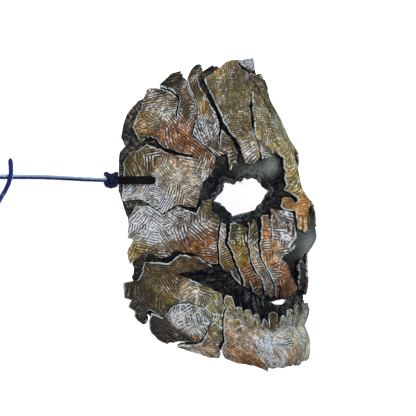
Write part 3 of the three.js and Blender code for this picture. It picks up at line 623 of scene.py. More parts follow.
# A few broad washes of paint on each plate: s, h, radius, paint, how much white goes over it
WASHES = {
    "forehead_slab": [
        (-72, 217, 11, GOLD, 0.6), (-56, 190, 22, OLIVE, 0.4), (-50, 155, 9, BONE, 0.75),
        (-22, 176, 18, YELLOW_OLIVE, 0.55), (-5, 148, 14, STRAW, 0.4), (-10, 112, 9, ORANGE, 0.35),
        (0, 206, 18, DEEP_OLIVE, 0.4), (20, 150, 16, SAGE, 0.4),
    ],
    "crown_sliver": [(-20, 219, 30, SILVER, 0.85)],
    "forehead_flank": [
        (-118, 210, 8, UMBER, 0.4), (-100, 203, 11, BROWN, 0.5), (-86, 186, 8, GOLD, 0.65),
        (-86, 168, 11, GREY, 0.8), (-76, 154, 8, BROWN, 0.5),
    ],
    "temple_plate": [
        (-130, 205, 10, UMBER, 0.1), (-103, 190, 11, BROWN, 0.5), (-142, 192, 9, OLIVE, 0.7),
        (-122, 184, 9, WARM_GREY, 0.8), (-136, 173, 10, AMBER, 0.35), (-110, 163, 13, RUST, 0.4),
        (-138, 147, 11, DEEP_OLIVE, 0.35), (-112, 139, 12, BONE, 0.75),
        (-131, 128, 10, SILVER, 0.95), (-101, 123, 9, PINK_BONE, 0.65),
    ],
    "cheek_plate": [
        (-130, 105, 12, SILVER, 0.95), (-106, 106, 10, GREY, 0.7), (-140, 88, 9, GOLD, 0.35),
        (-98, 91, 13, RUST, 0.4), (-122, 89, 8, BROWN, 0.3), (-91, 113, 6, OLIVE, 0.4),
    ],
    "jaw_plate": [
        (-114, 77, 14, BROWN, 0.2), (-146, 50, 12, UMBER, 0.15), (-128, 60, 11, DEEP_OLIVE, 0.15),
        (-109, 58, 7, BONE, 0.6), (-95, 42, 11, SAGE, 0.5), (-125, 18, 12, PINK_BONE, 0.55),
    ],
    "jaw_corner": [
        (-136, 32, 11, UMBER, 0.05), (-119, 39, 8, SILVER, 0.8), (-106, 38, 9, GREEN_GREY, 0.7),
        (-118, 28, 6, BROWN, 0.35),
    ],
    "chin_plate": [
        (-80, 44, 9, YELLOW_OLIVE, 0.5), (-86, 25, 11, PINK_BONE, 0.5), (-66, 32, 9, BONE, 0.55),
        (-60, 18, 10, SILVER, 1.0), (-50, 38, 7, BROWN, 0.5), (-28, 28, 13, GREEN_GREY, 0.7),
        (-4, 24, 10, PALE_GREEN, 0.8), (-92, 9, 8, RUST, 0.5), (-28, 9, 12, PINK_BONE, 0.6),
    ],
    "cheek_strip_outer": [
        (-81, 98, 8, BONE, 0.7), (-79, 84, 8, AMBER, 0.4), (-73, 68, 7, UMBER, 0.3),
    ],
    "cheek_strip_middle": [
        (-70, 100, 8, DEEP_OLIVE, 0.35), (-69, 87, 8, GOLD, 0.35), (-61, 73, 9, RUST, 0.35),
        (-60, 59, 7, UMBER, 0.15),
    ],
    "cheek_strip_inner": [
        (-57, 101, 7, DEEP_OLIVE, 0.4), (-56, 84, 10, WARM_GREY, 0.6), (-49, 66, 8, GREY, 0.55),
    ],
    "nose_side_plate": [
        (-32, 108, 7, RUST, 0.5), (-25, 96, 9, GREY, 0.8), (-44, 88, 8, ORANGE, 0.5),
        (-30, 83, 7, WARM_GREY, 0.65), (-29, 67, 10, RUST, 0.4), (-43, 67, 5, GREY, 0.75),
    ],
    "upper_lip_plate": [(0, 70, 12, UMBER, 0.3)],
}
WASHES["forehead_plate_left"] = [(-s, *rest) for s, *rest in WASHES["forehead_slab"]]


RICHER = 1.15      # how much stronger the stains are than their mix with black and white
WASH_RAGGED = 7      # how far a wash's border wanders, and the size of its bends
WASH_FALL = 1.8      # how fast a wash fades past its radius


def washed(washes, s, h, seed):
    """The paint and the amount of brushed white at each point, with ragged borders."""
    ragged_s = s + WASH_RAGGED * swing(s, h, WASH_RAGGED, seed + 40)
    ragged_h = h + WASH_RAGGED * swing(s, h, WASH_RAGGED, seed + 50)
    total = np.full(s.shape, 1e-15)
    colour = np.zeros(s.shape + (3,))
    brushed = np.zeros(s.shape)
    for at_s, at_h, radius, paint, white in washes:
        away = np.hypot(ragged_s - at_s, ragged_h - at_h) / radius
        share = np.exp(-away ** 2 * WASH_FALL) + 1e-9 / (1 + away)
        total += share
        colour += share[:, None] * paint
        brushed += share * white
    colour /= total[:, None]
    grey = colour.mean(1)[:, None]
    return np.clip(grey + RICHER * (colour - grey), 0, 1), brushed / total


STROKE = 1.7
WIDER = 30.0      # the cuts are twice as far apart at the midline, and even out past twice this
# Patch size, shift and share of patches for each layer of knife strokes
HATCH_LAYERS = ((15.0, 0.0, 1.0), (10.0, 17.3, 0.3), (18.0, 41.9, 0.25))
HATCH_BEND, HATCH_BEND_SIZE = 7.0, 9
CUT_AT, CREST_AT, CUT_HALF = 0.26, 0.72, 0.2      # across one stroke, as shares of its width
LEAST_TURN, TURN_RANGE = 0.12, 1.7      # the way that a patch is cut, in half turns
LEAST_WIDTH, WIDTH_RANGE = 0.8, 0.5      # the width of a patch's strokes, as shares of STROKE
CUT_LENGTH, CREST_LENGTH = 6, 3      # how far a cut or its crest runs before it may break


def hatching(s, h, seed):
    """Overlapping patches of straight knife cuts: groove, raised lip and top patches, 0 to 1."""
    groove, lip, over = np.zeros((3, *s.shape))
    s = s - WIDER * np.tanh(s / (2 * WIDER))
    bend_s, bend_h = (HATCH_BEND * swing(s, h, HATCH_BEND_SIZE, seed + key) for key in (3, 5))
    for layer, (patch, away, share) in enumerate(HATCH_LAYERS):
        key = seed + 100 * layer
        cell, border = cells((s + away + bend_s) / patch, (h + away + bend_h) / patch, key)
        angle = math.pi * (LEAST_TURN + TURN_RANGE * cell)
        across = (s + 0.3 * bend_s) * np.cos(angle) + (h + 0.3 * bend_h) * np.sin(angle)
        along = -s * np.sin(angle) + h * np.cos(angle)
        width = STROKE * (LEAST_WIDTH + WIDTH_RANGE * noise(cell * 9, cell * 5, 3))
        phase = across / width + 9 * cell
        line = np.floor(phase)
        drawn = noise(line * 1.7 + 31 * cell, along / CUT_LENGTH, key + 7)
        drawn = smooth_step(0.3, 0.38, drawn)
        drawn *= lattice(np.floor(cell * 997), np.array(layer), 5) < share
        drawn *= smooth_step(0.02, 0.1, border + 0.3 * (noise(line * 2.3, cell * 7, 9) - 0.4))
        drawn *= 0.4 + 0.6 * noise(cell * 13, cell * 17, key + 15)
        cut = np.exp(-((phase - line - CUT_AT) / CUT_HALF) ** 4)
        crest = np.exp(-((phase - line - CREST_AT) / CUT_HALF) ** 4)
        crest *= 0.35 + 0.85 * noise(line * 3.1, along / CREST_LENGTH, key + 13)
        groove = np.maximum(groove * (1 - 0.8 * drawn), drawn * cut)
        lip = np.maximum(lip * (1 - 0.9 * drawn), drawn * crest)
        if layer:
            over = np.maximum(over, drawn)
    return groove, lip, over


CRACK_BEND, CRACK_CELL = 4, 8.5


def crackle(s, h, places, seed):
    """Branching white cracks round each place."""
    bend_s, bend_h = (CRACK_BEND * (noise(s / 5, h / 5, seed + key) - 0.5) for key in (1, 2))
    _, border = cells((s + bend_s) / CRACK_CELL, (h + bend_h) / CRACK_CELL, seed + 4)
    near = np.zeros(s.shape)
    for at_s, at_h, radius in places:
        near = np.maximum(near, oval(s, h, at_s, at_h, radius, radius))
    broken = smooth_step(0.35, 0.5, noise(s / 4, h / 4, seed + 6) + 0.25 * near)
    return (1 - smooth_step(0.02, 0.08, border)) * smooth_step(0.25, 0.6, near) * broken


CRACKLED = {
    "jaw_plate": [(-98, 46, 12), (-108, 55, 10), (-92, 36, 9)],
    "jaw_corner": [(-112, 42, 13), (-106, 34, 9)],
    "chin_plate": [(-84, 36, 10), (-20, 30, 9)],
}
# How much paler or darker a plate is than its washes, and how much finer it is scored
LIGHTER = {
    "cheek_strip_outer": 1.45, "cheek_strip_middle": 1.35, "cheek_strip_inner": 1.3,
    "nose_side_plate": 1.2, "chin_plate": 1.18, "forehead_slab": 1.06, "jaw_plate": 0.95,
    "cheek_plate": 0.93, "forehead_flank": 0.88,
}
FINER = {"chin_plate": 1.4, "forehead_slab": 1.12, "jaw_plate": 1.1}
BY_THE_MOUTH = ("cheek_strip_outer", "cheek_strip_middle", "cheek_strip_inner",
                "nose_side_plate", "upper_lip_plate")
ONE_SIDED = ("forehead_slab", "forehead_plate_left")      # their washes aren't mirrored
SLOT_LENGTH, SLOT_WIDTH, SLOT_WANDER = 9.0, 0.65, 2.5
# Heights on the face between which the plates above the mouth, and the chin, go dark
MOUTH_TOP, MOUTH_BOTTOM = (55, 66), (34, 44)
MOUTH_END = (58, 66)      # how far out the chin's dark edge fades


def darker_by_mouth(name, s, h, patchy):
    """How far the paint goes dark towards the open mouth, 0 to 1."""
    ragged = h + 9 * (patchy - 0.5)
    if name in BY_THE_MOUTH:
        return 1 - smooth_step(*MOUTH_TOP, ragged)
    if name == "chin_plate":
        return 0.6 * smooth_step(*MOUTH_BOTTOM, ragged) * (1 - smooth_step(*MOUTH_END, -s))
    return np.zeros(s.shape)


def tooth_slots(s, h, wander):
    """The cuts between the teeth, carried on down the chin."""
    slots = np.zeros(s.shape)
    for _, end, _, cut in TEETH:
        away = (s - end - TOOTH_CUT - SLOT_WANDER * (wander - 0.5)) / SLOT_WIDTH
        slots = np.maximum(slots, np.exp(-away ** 2) * smooth_step(cut - SLOT_LENGTH, cut - 1, h))
    return slots


SPECK, GRAIN, PATCH = 0.7, 1.6, 5      # sizes of what breaks up the paint
SCORE_DEPTH, SLOT_DEPTH = 0.32, 0.7
GRAIN_DEPTH, SWELL_DEPTH, VEIN_HEIGHT = 0.3, 1.2, 0.25
# Widths of the pale edge line, and of the painted shade near a plate's edges
WHITE_EDGE, SHADE_EDGE = 0.42, 2.2
TOP_EDGE = 0.75      # painted highlight on edges that face up, against those that face the wearer's right


def paint_plate(name, s, h, border, seed):
    """The relief and the colour of a plate's face."""
    edge, way_s, way_h = border
    wash_s = s if name in ONE_SIDED else -np.abs(s)
    finer = FINER.get(name, 1.0)
    groove, lip, over = hatching(s * finer, h * finer, seed)
    colour, brushed = washed(WASHES[name], wash_s, h, seed)
    speck = noise(s / SPECK, h / SPECK, seed + 8)
    grain = rough_noise(s, h, GRAIN, seed + 9)
    patchy = rough_noise(s, h, PATCH, seed + 11)
    stain = swing(s, h, 3, seed + 12)
    veins = crackle(s, h, CRACKLED.get(name, []), seed)
    # How far the paint goes darker towards the mouth
    mouth_dark = darker_by_mouth(name, wash_s, h, patchy)

    # Relief
    relief = SCORE_DEPTH * (0.7 * lip - groove) + GRAIN_DEPTH * (grain - 0.5)
    relief += SWELL_DEPTH * swing(s, h, 13, seed + 13)
    if name == "chin_plate":
        slots = tooth_slots(wash_s, h, patchy)
        groove = np.maximum(groove, slots)
        relief -= SLOT_DEPTH * slots
    relief += VEIN_HEIGHT * veins

    # The washes, stained warmer and cooler, and lighter and darker
    colour = colour * LIGHTER.get(name, 1.0)
    colour = colour * np.stack([1 + 0.9 * stain, 1 + 0.1 * stain, 1 - 0.9 * stain], -1)
    tone = -0.2 + 1.0 * (speck - 0.5) + 2.2 * (grain - 0.5) + 1.8 * (patchy - 0.5)
    # Painted shade near the plate's edges, and darker towards the mouth
    tone -= 0.5 * bell(edge, 0, SHADE_EDGE) + 1.1 * mouth_dark
    colour = colour * np.exp(tone)[:, None]

    # Pale paint on the raised lips, dry-brushed white, dark grooves and white cracks
    pale = np.clip(lip * (0.2 + 0.8 * brushed + 1.2 * (patchy - 0.45)), 0, 0.9)
    colour = mix(colour, 0.8 * colour + 0.34 * CREAM, pale)
    dry = brushed + lip * (0.62 + 0.4 * over) + 1.1 * (patchy - 0.5)
    dry += 0.7 * (speck - 0.5) + 0.8 * (grain - 0.5) - 0.4 * mouth_dark
    colour = mix(colour, WHITE * (0.6 + 0.35 * speck)[:, None], smooth_step(0.9, 1.35, dry))
    colour = mix(colour, SCORED_BLACK, np.clip(1.15 * groove * (0.75 + 0.5 * grain), 0, 0.95))
    colour = mix(colour, WHITE, 0.9 * veins)

    # Pale edges: wear, and a painted highlight on edges that face the lights, up and to the
    # wearer's right
    facing_the_lights = np.maximum(-way_s, TOP_EDGE * way_h)
    worn_and_lit_edge = bell(edge, 0, WHITE_EDGE)
    worn_and_lit_edge *= smooth_step(0.56, 0.74, rough_noise(s, h, 8, seed + 15) + 0.36 * facing_the_lights)
    return relief, mix(colour, EDGE_WHITE, 0.95 * worn_and_lit_edge * (1 - 0.85 * mouth_dark))


# Spacing of the points on a plate's face, and on its underside
FINE = {"right": 0.36, "middle": 0.38, "left": 0.8}
UNDERSIDE = 5.0
CUT_SHADE, FOOT_SHADE = 0.6, 0.25      # how dark a cut side gets in places, and the painted shade at its foot
EDGE_DROP = 0.45      # how far the border dips below the face
CURL_REACH = 2.6      # how far in from an edge its curl goes
THINNEST = 0.9


def torn_plate(node, name, outline, slot, fine, seed, holes=(), curl=CURL, lifted=()):
    """A plate with scored paint, curled torn edges and pale cut sides."""
    edge_line = torn(outline, seed)
    holes = list(holes)
    points, top, border = flat_mesh(edge_line, holes, fine)
    s, h = points.T
    to_border = edge_field(edge_line, s, h)
    relief, colour = paint_plate(name, s, h, to_border, seed)
    lip = curl * (0.6 + 0.4 * np.sin(0.35 * s + 0.22 * h)) * np.exp(-to_border[0] / CURL_REACH)
    for at_s, at_h, rise, reach in lifted:
        lip = lip + rise * oval(s, h, at_s, at_h, reach, reach)
    lift = PLATE_BOTTOM + PLATE + relief + lip
    corner = border[:, 0]
    lift[corner] -= EDGE_DROP
    lift = np.maximum(lift, PLATE_BOTTOM + THINNEST)

    # The cut side goes down in two bands, from the face's border by way of its middle
    side_s, side_h = points[corner].T
    middle_lift = PLATE_BOTTOM + (lift[corner] - PLATE_BOTTOM) / 2
    middle, bottom = len(points), len(points) + len(border)
    order = {a: k for k, a in enumerate(corner.tolist())}
    faces = top.tolist()
    for k, (a, b) in enumerate(border.tolist()):
        j = order[b]
        faces.append((b, a, middle + k, middle + j))
        faces.append((middle + j, middle + k, bottom + k, bottom + j))

    # The underside joins the bottom of the side
    under, triangles, _ = flat_mesh(edge_line, holes, UNDERSIDE)
    shared = {key: bottom + k for k, key in enumerate(rounded(points[corner]))}
    index, extra = [], []
    for point, key in zip(under, rounded(under)):
        if key not in shared:
            shared[key] = bottom + len(border) + len(extra)
            extra.append(point)
        index.append(shared[key])
    extra = np.array(extra).reshape(-1, 2)
    faces += [tuple(index[c] for c in triangle[::-1]) for triangle in triangles.tolist()]

    all_s = np.concatenate([s, side_s, side_s, extra[:, 0]])
    all_h = np.concatenate([h, side_h, side_h, extra[:, 1]])
    flat = np.full(len(border) + len(extra), PLATE_BOTTOM)
    cut = smooth_step(0.35, 0.6, rough_noise(side_s, side_h, 5, seed + 21))
    cut_colour = mix(UMBER * CUT_SHADE, CUT_BROWN, cut)
    # The cut side's foot is painted darker as shade, and the underside near black as shade
    paint = np.concatenate([colour, cut_colour, cut_colour * FOOT_SHADE,
                            np.tile(UNDERSIDE_SHADE, (len(extra), 1))])
    piece = add_mesh(f"{node}_leather",
                     place(all_s, all_h, np.concatenate([lift, middle_lift, flat])),
                     faces, paint, painted_leather)
    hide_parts(node)


# Materials

def new_material(name):
    """A material, its node tree and its shader."""
    material = bpy.data.materials.new(name)
    material.use_nodes = True
    return material, material.node_tree, material.node_tree.nodes["Principled BSDF"]


def add_node(tree, kind, values):
    """A node with the given values set on its sockets."""
    node = tree.nodes.new(kind)
    for socket, value in values.items():
        node.inputs[socket].default_value = value
    return node


def leather_material(name, roughness, spread, bump, scale, tint, gloss_level):
    """Painted leather: the colour is the piece's own paint, broken up by a fine grain."""
    material, tree, shader = new_material(name)
    shader.inputs["Specular IOR Level"].default_value = gloss_level
    paint = tree.nodes.new("ShaderNodeAttribute")
    paint.attribute_name = "paint"
    where = tree.nodes.new("ShaderNodeTexCoord")
    fine = add_node(tree, "ShaderNodeTexNoise", {"Scale": scale, "Detail": 4})
    grain = add_node(tree, "ShaderNodeMapRange", {
        "From Min": 0.3, "From Max": 0.7, "To Min": 1 - tint, "To Max": 1 + tint})
    scaled = tree.nodes.new("ShaderNodeVectorMath")
    scaled.operation = "SCALE"
    gloss = add_node(tree, "ShaderNodeMapRange", {
        "To Min": roughness - spread, "To Max": roughness + spread})
    bumps = add_node(tree, "ShaderNodeBump", {"Strength": bump, "Distance": 0.0004})
    for output, socket in (
        (where.outputs["Object"], fine.inputs["Vector"]),
        (fine.outputs["Fac"], grain.inputs["Value"]),
        (paint.outputs["Color"], scaled.inputs[0]),
        (grain.outputs["Result"], scaled.inputs["Scale"]),
        (scaled.outputs["Vector"], shader.inputs["Base Color"]),
        (fine.outputs["Fac"], gloss.inputs["Value"]),
        (gloss.outputs["Result"], shader.inputs["Roughness"]),
        (fine.outputs["Fac"], bumps.inputs["Height"]),
        (bumps.outputs["Normal"], shader.inputs["Normal"]),
    ):
        tree.links.new(output, socket)
    return material


# Roughness and its spread, bump, grain scale, tint and gloss level
painted_leather = leather_material("painted_leather", 0.62, 0.12, 0.4, 1400, 0.25, 0.12)
black_leather = leather_material("black_leather", 0.42, 0.12, 0.5, 900, 0.3, 0.09)
flesh_leather = leather_material("flesh_leather", 0.85, 0.08, 0.6, 1200, 0.06, 0.1)
cord_material = leather_material("cord", 0.85, 0.1, 0.6, 1500, 0.2, 0.1)


# The moulded base shell

# Rolled folds round the eye: how far out, how wide and how high
LID_FOLDS = ((0.8, 0.9, 1.2), (2.1, 0.5, -0.8), (3.4, 1.1, 0.9), (5.2, 0.8, -0.5))
# Places on the bare shell: across and up, radius across and radius up
# NOSE_GLINT places a painted glint on the nose
NOSE, NOSE_GLINT, CHEEK_HOLLOW = (0, 93, 24, 13), (5, 91, 6, 6), (92, 68, 26, 9)
# BROW_HEAD and BROW_TAIL place the painted highlight under the brows
BROW_HEAD, BROW_TAIL = (26, 147, 9, 6), (44, 145, 20, 4.5)
MOUTH_HEIGHT, MOUTH_REACH = 50, 8


def shell_face(s, h, eyes):
    """The relief and the colour of the shell's bare outer face."""
    across = np.abs(s)
    eye = np.minimum(*[edge_distance(line, s, h) for line in eyes])
    creased = eye + 4.5 * swing(s, h, (5, 4), 63)
    relief = 1.0 * swing(s, h, 11, 61) + 1.3 * swing(s, h, (4.5, 3.2), 69)
    for centre, width, rise in LID_FOLDS:
        relief += rise * bell(creased, centre, width)
    mouth = bell(h, MOUTH_HEIGHT, MOUTH_REACH) * (1 - smooth_step(70, 110, across))
    pucker = s / 5 + 2.5 * rough_noise(s, h, (9, 16), 65)
    relief += 0.8 * mouth * np.sin(2 * math.pi * pucker)
    fold = h / 7 + across / 30 + 1.5 * rough_noise(s, h, (14, 10), 67)
    relief += 0.7 * oval(across, h, *CHEEK_HOLLOW) * np.sin(2 * math.pi * fold)
    groove, lip, _ = hatching(s, h, 71)
    outer = smooth_step(118, 134, across) + smooth_step(190, 204, h)
    outer = np.clip(outer, 0, 1) * smooth_step(50, 90, h)
    relief += 0.3 * (lip - groove) * outer
    grain = rough_noise(s, h, 1.3, 73)
    speck = noise(s / SPECK, h / SPECK, 74)
    relief += 0.16 * (grain - 0.5)

    nose = oval(s, h, *NOSE)
    # Painted sheen: paler paint on the crests of the shell's relief, in patches
    sheen = smooth_step(0.1, 1.3, relief) * smooth_step(0.35, 0.7, rough_noise(s, h, 6, 75))
    sheen = np.clip(sheen * (0.3 + 1.6 * speck) + 0.35 * smooth_step(0.62, 0.8, grain), 0, 1)
    colour = mix(SHELL_BLACK, SHELL_SHEEN, sheen * (1 - nose))
    # Painted highlight in the recess under the brows
    brow_highlight = oval(across, h, *BROW_HEAD) + 0.55 * oval(across, h, *BROW_TAIL)
    colour = mix(colour, BROW_HIGHLIGHT_GREY, np.clip(0.9 * brow_highlight * (0.3 + grain), 0, 1))
    # The bare nose: grey with random tone, and a painted glint near its tip
    shade = 0.42 + 0.4 * grain + 1.5 * oval(across, h, *NOSE_GLINT)
    colour = mix(colour, NOSE_GREY * shade[:, None], nose)
    brushed = outer * np.clip(0.7 * lip + 0.5 * smooth_step(0.5, 0.8, grain) - 0.6 * groove, 0, 1)
    brushed *= smooth_step(0.4, 0.65, rough_noise(s, h, 6, 77) + 0.2 * speck)
    return relief * (1 - 0.8 * nose), mix(colour, BONE, 0.75 * brushed)


# Spacing of the shell's points outside, outside where a plate covers it, and inside
SHELL_FINE, SHELL_COVERED, SHELL_INSIDE = 0.6, 2.4, 2.6
COVER_EDGE = 1.2      # how far in under a plate the shell keeps its fine points
DEEPEST, HIGHEST = -1.2, 1.6      # limits of the shell's relief
RIM_DROP = 0.3


def under_plates(points):
    """Whether each point of the shell lies well under a plate."""
    covered = np.zeros(len(points), bool)
    for shape in plate_shapes():
        low, high = shape.min(0), shape.max(0)
        near = np.flatnonzero(((points > low) & (points < high)).all(1) & ~covered)
        within = near[inside(shape, *points[near].T)]
        covered[within[edge_distance(shape, *points[within].T) > COVER_EDGE]] = True
    return covered


def base_shell():
    outline = torn(shift_left(BASE), 5)
    eyes = [torn(line, 7, wander=0.9) for line in both_sides(EYE).values()]
    mouths = [torn(line, seed, wander=0.3)
              for seed, line in zip((9, 10), both_sides(MOUTH).values())]
    holes = eyes + mouths + list(strap_hole.values())
    points, top, border = flat_mesh(outline, holes, SHELL_FINE, (SHELL_COVERED, under_plates))
    s, h = points.T
    relief, colour = shell_face(s, h, eyes)
    lift = SHELL + np.clip(relief, DEEPEST, HIGHEST)
    lift[border[:, 0]] -= RIM_DROP

    inner, inner_triangles, _ = flat_mesh(outline, holes, SHELL_INSIDE)
    inner_s, inner_h = inner.T
    suede = np.abs(0.25 * swing(inner_s, inner_h, 5, 81))
    inner_tone = 0.92 + 0.16 * rough_noise(inner_s, inner_h, 12, 83)
    count = len(points)
    shared = {key: count + k for k, key in enumerate(rounded(inner))}
    partner = [shared.get(key) for key in rounded(points)]
    outer_faces = top.tolist()
    inner_faces = [tuple(count + c for c in t[::-1]) for t in inner_triangles.tolist()]
    rim_faces = [(b, a, partner[a], partner[b]) for a, b in border.tolist()]
    piece = add_mesh("base_shell_leather",
                     np.concatenate([place(s, h, lift), place(inner_s, inner_h, suede)]),
                     outer_faces + inner_faces + rim_faces,
                     np.concatenate([colour, FLESH_SIDE * inner_tone[:, None]]), black_leather)
    piece.data.materials.append(flesh_leather)
    material_of = [0] * len(outer_faces) + [1] * len(inner_faces) + [0] * len(rim_faces)
    piece.data.polygons.foreach_set("material_index", material_of)
    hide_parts("base_shell")


# Straps, knots and laces

TABLE_GAP = 0.1
STRAP_WIDTH, STRAP_THICKNESS = 5.8, 2.2
LACE_DIAMETER = 3.0
KNOT_RADII = (6.6, 6.0, 4.6)
KNOT_X = 99.3
FACE_TO_FACE = 0.3
STRAP_ROUTE = [
    (71.5, 24.2), (76, 25.4), (81, 26.6), (85.2, 26.2), (87.6, 22.8), (88, 17), (88, 11.5),
    (88.9, 7.3), (92, 4.9),
]
LACE_Z = LACE_DIAMETER / 2 + TABLE_GAP
TURN_GAP = 0.1
LACE_TOP_Z = LACE_Z + LACE_DIAMETER + TURN_GAP      # a turn that lies on another one
LACE_START = KNOT_X + KNOT_RADII[0] + FACE_TO_FACE
COIL_OUTER, COIL_INNER = 18.2, 15.0
RIGHT_LACE = [
    (-LACE_START, 136, LACE_Z + 2.6), (-111, 136, LACE_Z + 1.2), (-117, 136, LACE_Z),
    (-128, 136, LACE_Z), (-140, 136.1, LACE_Z), (-158, 136.3, LACE_Z), (-176, 136.4, LACE_Z),
    (-194, 136.3, LACE_Z), (-212, 136, LACE_Z), (-228, 135.7, LACE_Z), (-238, 135.6, LACE_Z),
    (-248, 135, LACE_Z),
]
LEFT_LACE = [
    (LACE_START, 141, LACE_Z + 2.6), (111, 141, LACE_Z + 1.2), (117, 141.1, LACE_Z),
    (126, 141.2, LACE_Z), (136, 141.1, LACE_Z), (145, 140.8, LACE_Z),
]
FREE_END = [
    (-240.6, 113.5, LACE_Z), (-236.4, 118, LACE_Z), (-232, 123.4, LACE_Z + 0.8),
    (-228.6, 129.6, LACE_Z + 2.6), (-226, 136, LACE_Z + LACE_DIAMETER + FACE_TO_FACE),
    (-223.6, 142, LACE_Z + 1.9), (-221.4, 147, LACE_Z),
]
# The middle of each coil, the angle where the lace arrives, the way round, and then the turn,
# the radius and the height of points along it
RIGHT_COIL = ((-262, STRAP_HEIGHT["right"] - 19.7), 96, 1, [
    (0, COIL_OUTER, LACE_Z), (0.9, COIL_OUTER - 0.1, LACE_Z), (1.1, COIL_INNER, LACE_Z),
    (1.8, COIL_INNER, LACE_Z), (2.0, COIL_INNER + 0.6, LACE_TOP_Z),
    (2.3, COIL_OUTER - 1, LACE_TOP_Z), (2.52, COIL_OUTER + 0.4, LACE_TOP_Z - 1.2),
])
LEFT_COIL = ((160, STRAP_HEIGHT["left"] - 18.5), 84, -1, [
    (0, COIL_OUTER, LACE_Z), (0.9, COIL_OUTER, LACE_Z), (1.1, COIL_INNER, LACE_Z),
    (1.95, COIL_INNER, LACE_Z), (2.15, COIL_INNER, LACE_TOP_Z), (2.9, COIL_INNER, LACE_TOP_Z),
    (3.15, COIL_OUTER, LACE_TOP_Z), (4.05, COIL_OUTER, LACE_TOP_Z),
])
COIL_STEPS = 18      # points to a turn
LACE_STEP, STRAP_STEP = 1.0, 0.5
CURVE_STEPS = 12      # points of a curve between two given ones


def smooth_route(points, step):
    """A smooth curve through given points, in even steps."""
    points = np.asarray(points, float)
    ahead = np.concatenate([[2 * points[0] - points[1]], points, [2 * points[-1] - points[-2]]])
    t = np.linspace(0, 1, CURVE_STEPS, endpoint=False)[:, None]
    parts = []
    for k in range(len(points) - 1):
        a, b, c, d = ahead[k:k + 4]
        parts.append(0.5 * (2 * b + (c - a) * t + (2 * a - 5 * b + 4 * c - d) * t ** 2
                            + (3 * b - a - 3 * c + d) * t ** 3))
    dense = np.concatenate(parts + [points[-1:]])
    run = np.concatenate([[0], np.cumsum(np.linalg.norm(np.diff(dense, axis=0), axis=1))])
    even = np.linspace(0, run[-1], max(2, round(run[-1] / step)) + 1)
    return np.stack([np.interp(even, run, dense[:, k]) for k in range(3)], -1)


def coil_turns(middle, arrive, way, points):
    """The turns of a flat coil, from its given points."""
    marks, radii, heights = np.transpose(points)
    turn = np.arange(0, marks[-1] + 1e-6, 1 / COIL_STEPS)
    radius = np.interp(turn, marks, radii)
    angle = math.radians(arrive) + way * 2 * math.pi * turn
    return np.stack([middle[0] + radius * np.cos(angle), middle[1] + radius * np.sin(angle),
                     np.interp(turn, marks, heights)], -1)


LACE_ROUTES = {
    name: smooth_route(np.concatenate(parts), LACE_STEP) for name, parts in (
        ("right", [RIGHT_LACE, coil_turns(*RIGHT_COIL), FREE_END]),
        ("left", [LEFT_LACE, coil_turns(*LEFT_COIL)]),
    )
}


def tube_faces(rings, around, closed):
    """The faces between rings of points. A closed tube's last ring joins its first one."""
    return [(k * around + j, k * around + (j + 1) % around,
             (k + 1) % rings * around + (j + 1) % around, (k + 1) % rings * around + j)
            for k in range(rings if closed else rings - 1) for j in range(around)]


STEEP = 0.2      # a route nearer upright than this has no side of its own


def sweep(name, route, section, paint):
    """A skin round a route. `section` gives each ring's offsets sideways and up."""
    tangent = unit(np.gradient(route, axis=0))
    side = np.cross(tangent, [0, 0, 1.0])
    side[np.linalg.norm(side, axis=1) < STEEP] = [0, 1.0, 0]
    for k in range(1, len(side)):
        if side[k] @ side[k - 1] < 0:
            side[k] = -side[k]
    side = unit(side)
    up = unit(np.cross(side, tangent))
    points = route[:, None] + side[:, None] * section[..., :1] + up[:, None] * section[..., 1:]
    rings, around = section.shape[:2]
    faces = tube_faces(rings, around, False)
    faces.append(tuple(range(around))[::-1])
    faces.append(tuple((rings - 1) * around + j for j in range(around)))
    return add_mesh(name, metres(points.reshape(-1, 3)), faces, paint.reshape(-1, 3),
                    cord_material)


# The lace's painted shade, its mid blue, and its painted highlight
LACE_SHADED_NAVY, LACE_MID, LACE_LIT_PALE = srgb(26, 34, 92), srgb(92, 128, 200), srgb(176, 200, 232)
LACE_SIDES = 14
LACE_TIP = np.array([[0.96], [0.8], [0.45]])      # the last rings get narrower


def lace(name, route):
    """A soft blue lace with a napped surface and painted light: a painted highlight on top, navy
    painted shade along its lower side.
    """
    along = np.arange(len(route))[:, None]
    angle = full_turn(LACE_SIDES)
    radius = LACE_DIAMETER / 2 * (0.92 + 0.16 * noise(along * 0.9, angle * 3.1, 91))
    radius[-len(LACE_TIP):] *= LACE_TIP
    sideways = np.cos(angle)
    section = np.stack([radius * sideways, radius * np.sin(angle)], -1)
    mottle = swing(along * 0.33, sideways * 1.5, 1, 93)
    lit = np.clip(smooth_step(-0.55, 0.75, sideways) + 0.9 * mottle, 0, 1)
    colour = mix(LACE_SHADED_NAVY, mix(LACE_MID, LACE_LIT_PALE, lit), smooth_step(0.2, 0.6, lit))
    far = smooth_step(0.05, 0.5, along / len(route))
    return sweep(name, route, section, colour * (0.65 + 0.35 * far)[..., None])


STRAP_SIDES = 20
STRAP_BLACK = srgb(9, 9, 11)
SQUARENESS = 0.45      # 1 is an oval section, and nearer 0 is more of a box
RIB_SPACING, RIB_HEIGHT = 1.3, 0.1


def strap(name, side):
    """A flat ribbed strap, and its route."""
    route = smooth_route([(side * x, STRAP_HEIGHT[name], z) for x, z in STRAP_ROUTE], STRAP_STEP)
    along = np.arange(len(route))[:, None]
    angle = full_turn(STRAP_SIDES, 0.5)
    wide, tall = (np.sign(wave) * np.abs(wave) ** SQUARENESS
                  for wave in (np.cos(angle), np.sin(angle)))
    rib = 1 + RIB_HEIGHT * np.cos(2 * math.pi * along * STRAP_STEP / RIB_SPACING)
    section = np.stack(np.broadcast_arrays(STRAP_WIDTH / 2 * wide,
                                           STRAP_THICKNESS / 2 * tall * rib), -1)
    tone = 0.7 + 0.6 * noise(along * 0.7, angle * 2, 95)
    return sweep(f"strap_{name}_band", route, section, STRAP_BLACK * tone[..., None]), route


KNOT_TUBE = 1.95
KNOT_RINGS, KNOT_SIDES = 150, 14
KNOT_NAVY = srgb(22, 30, 54)


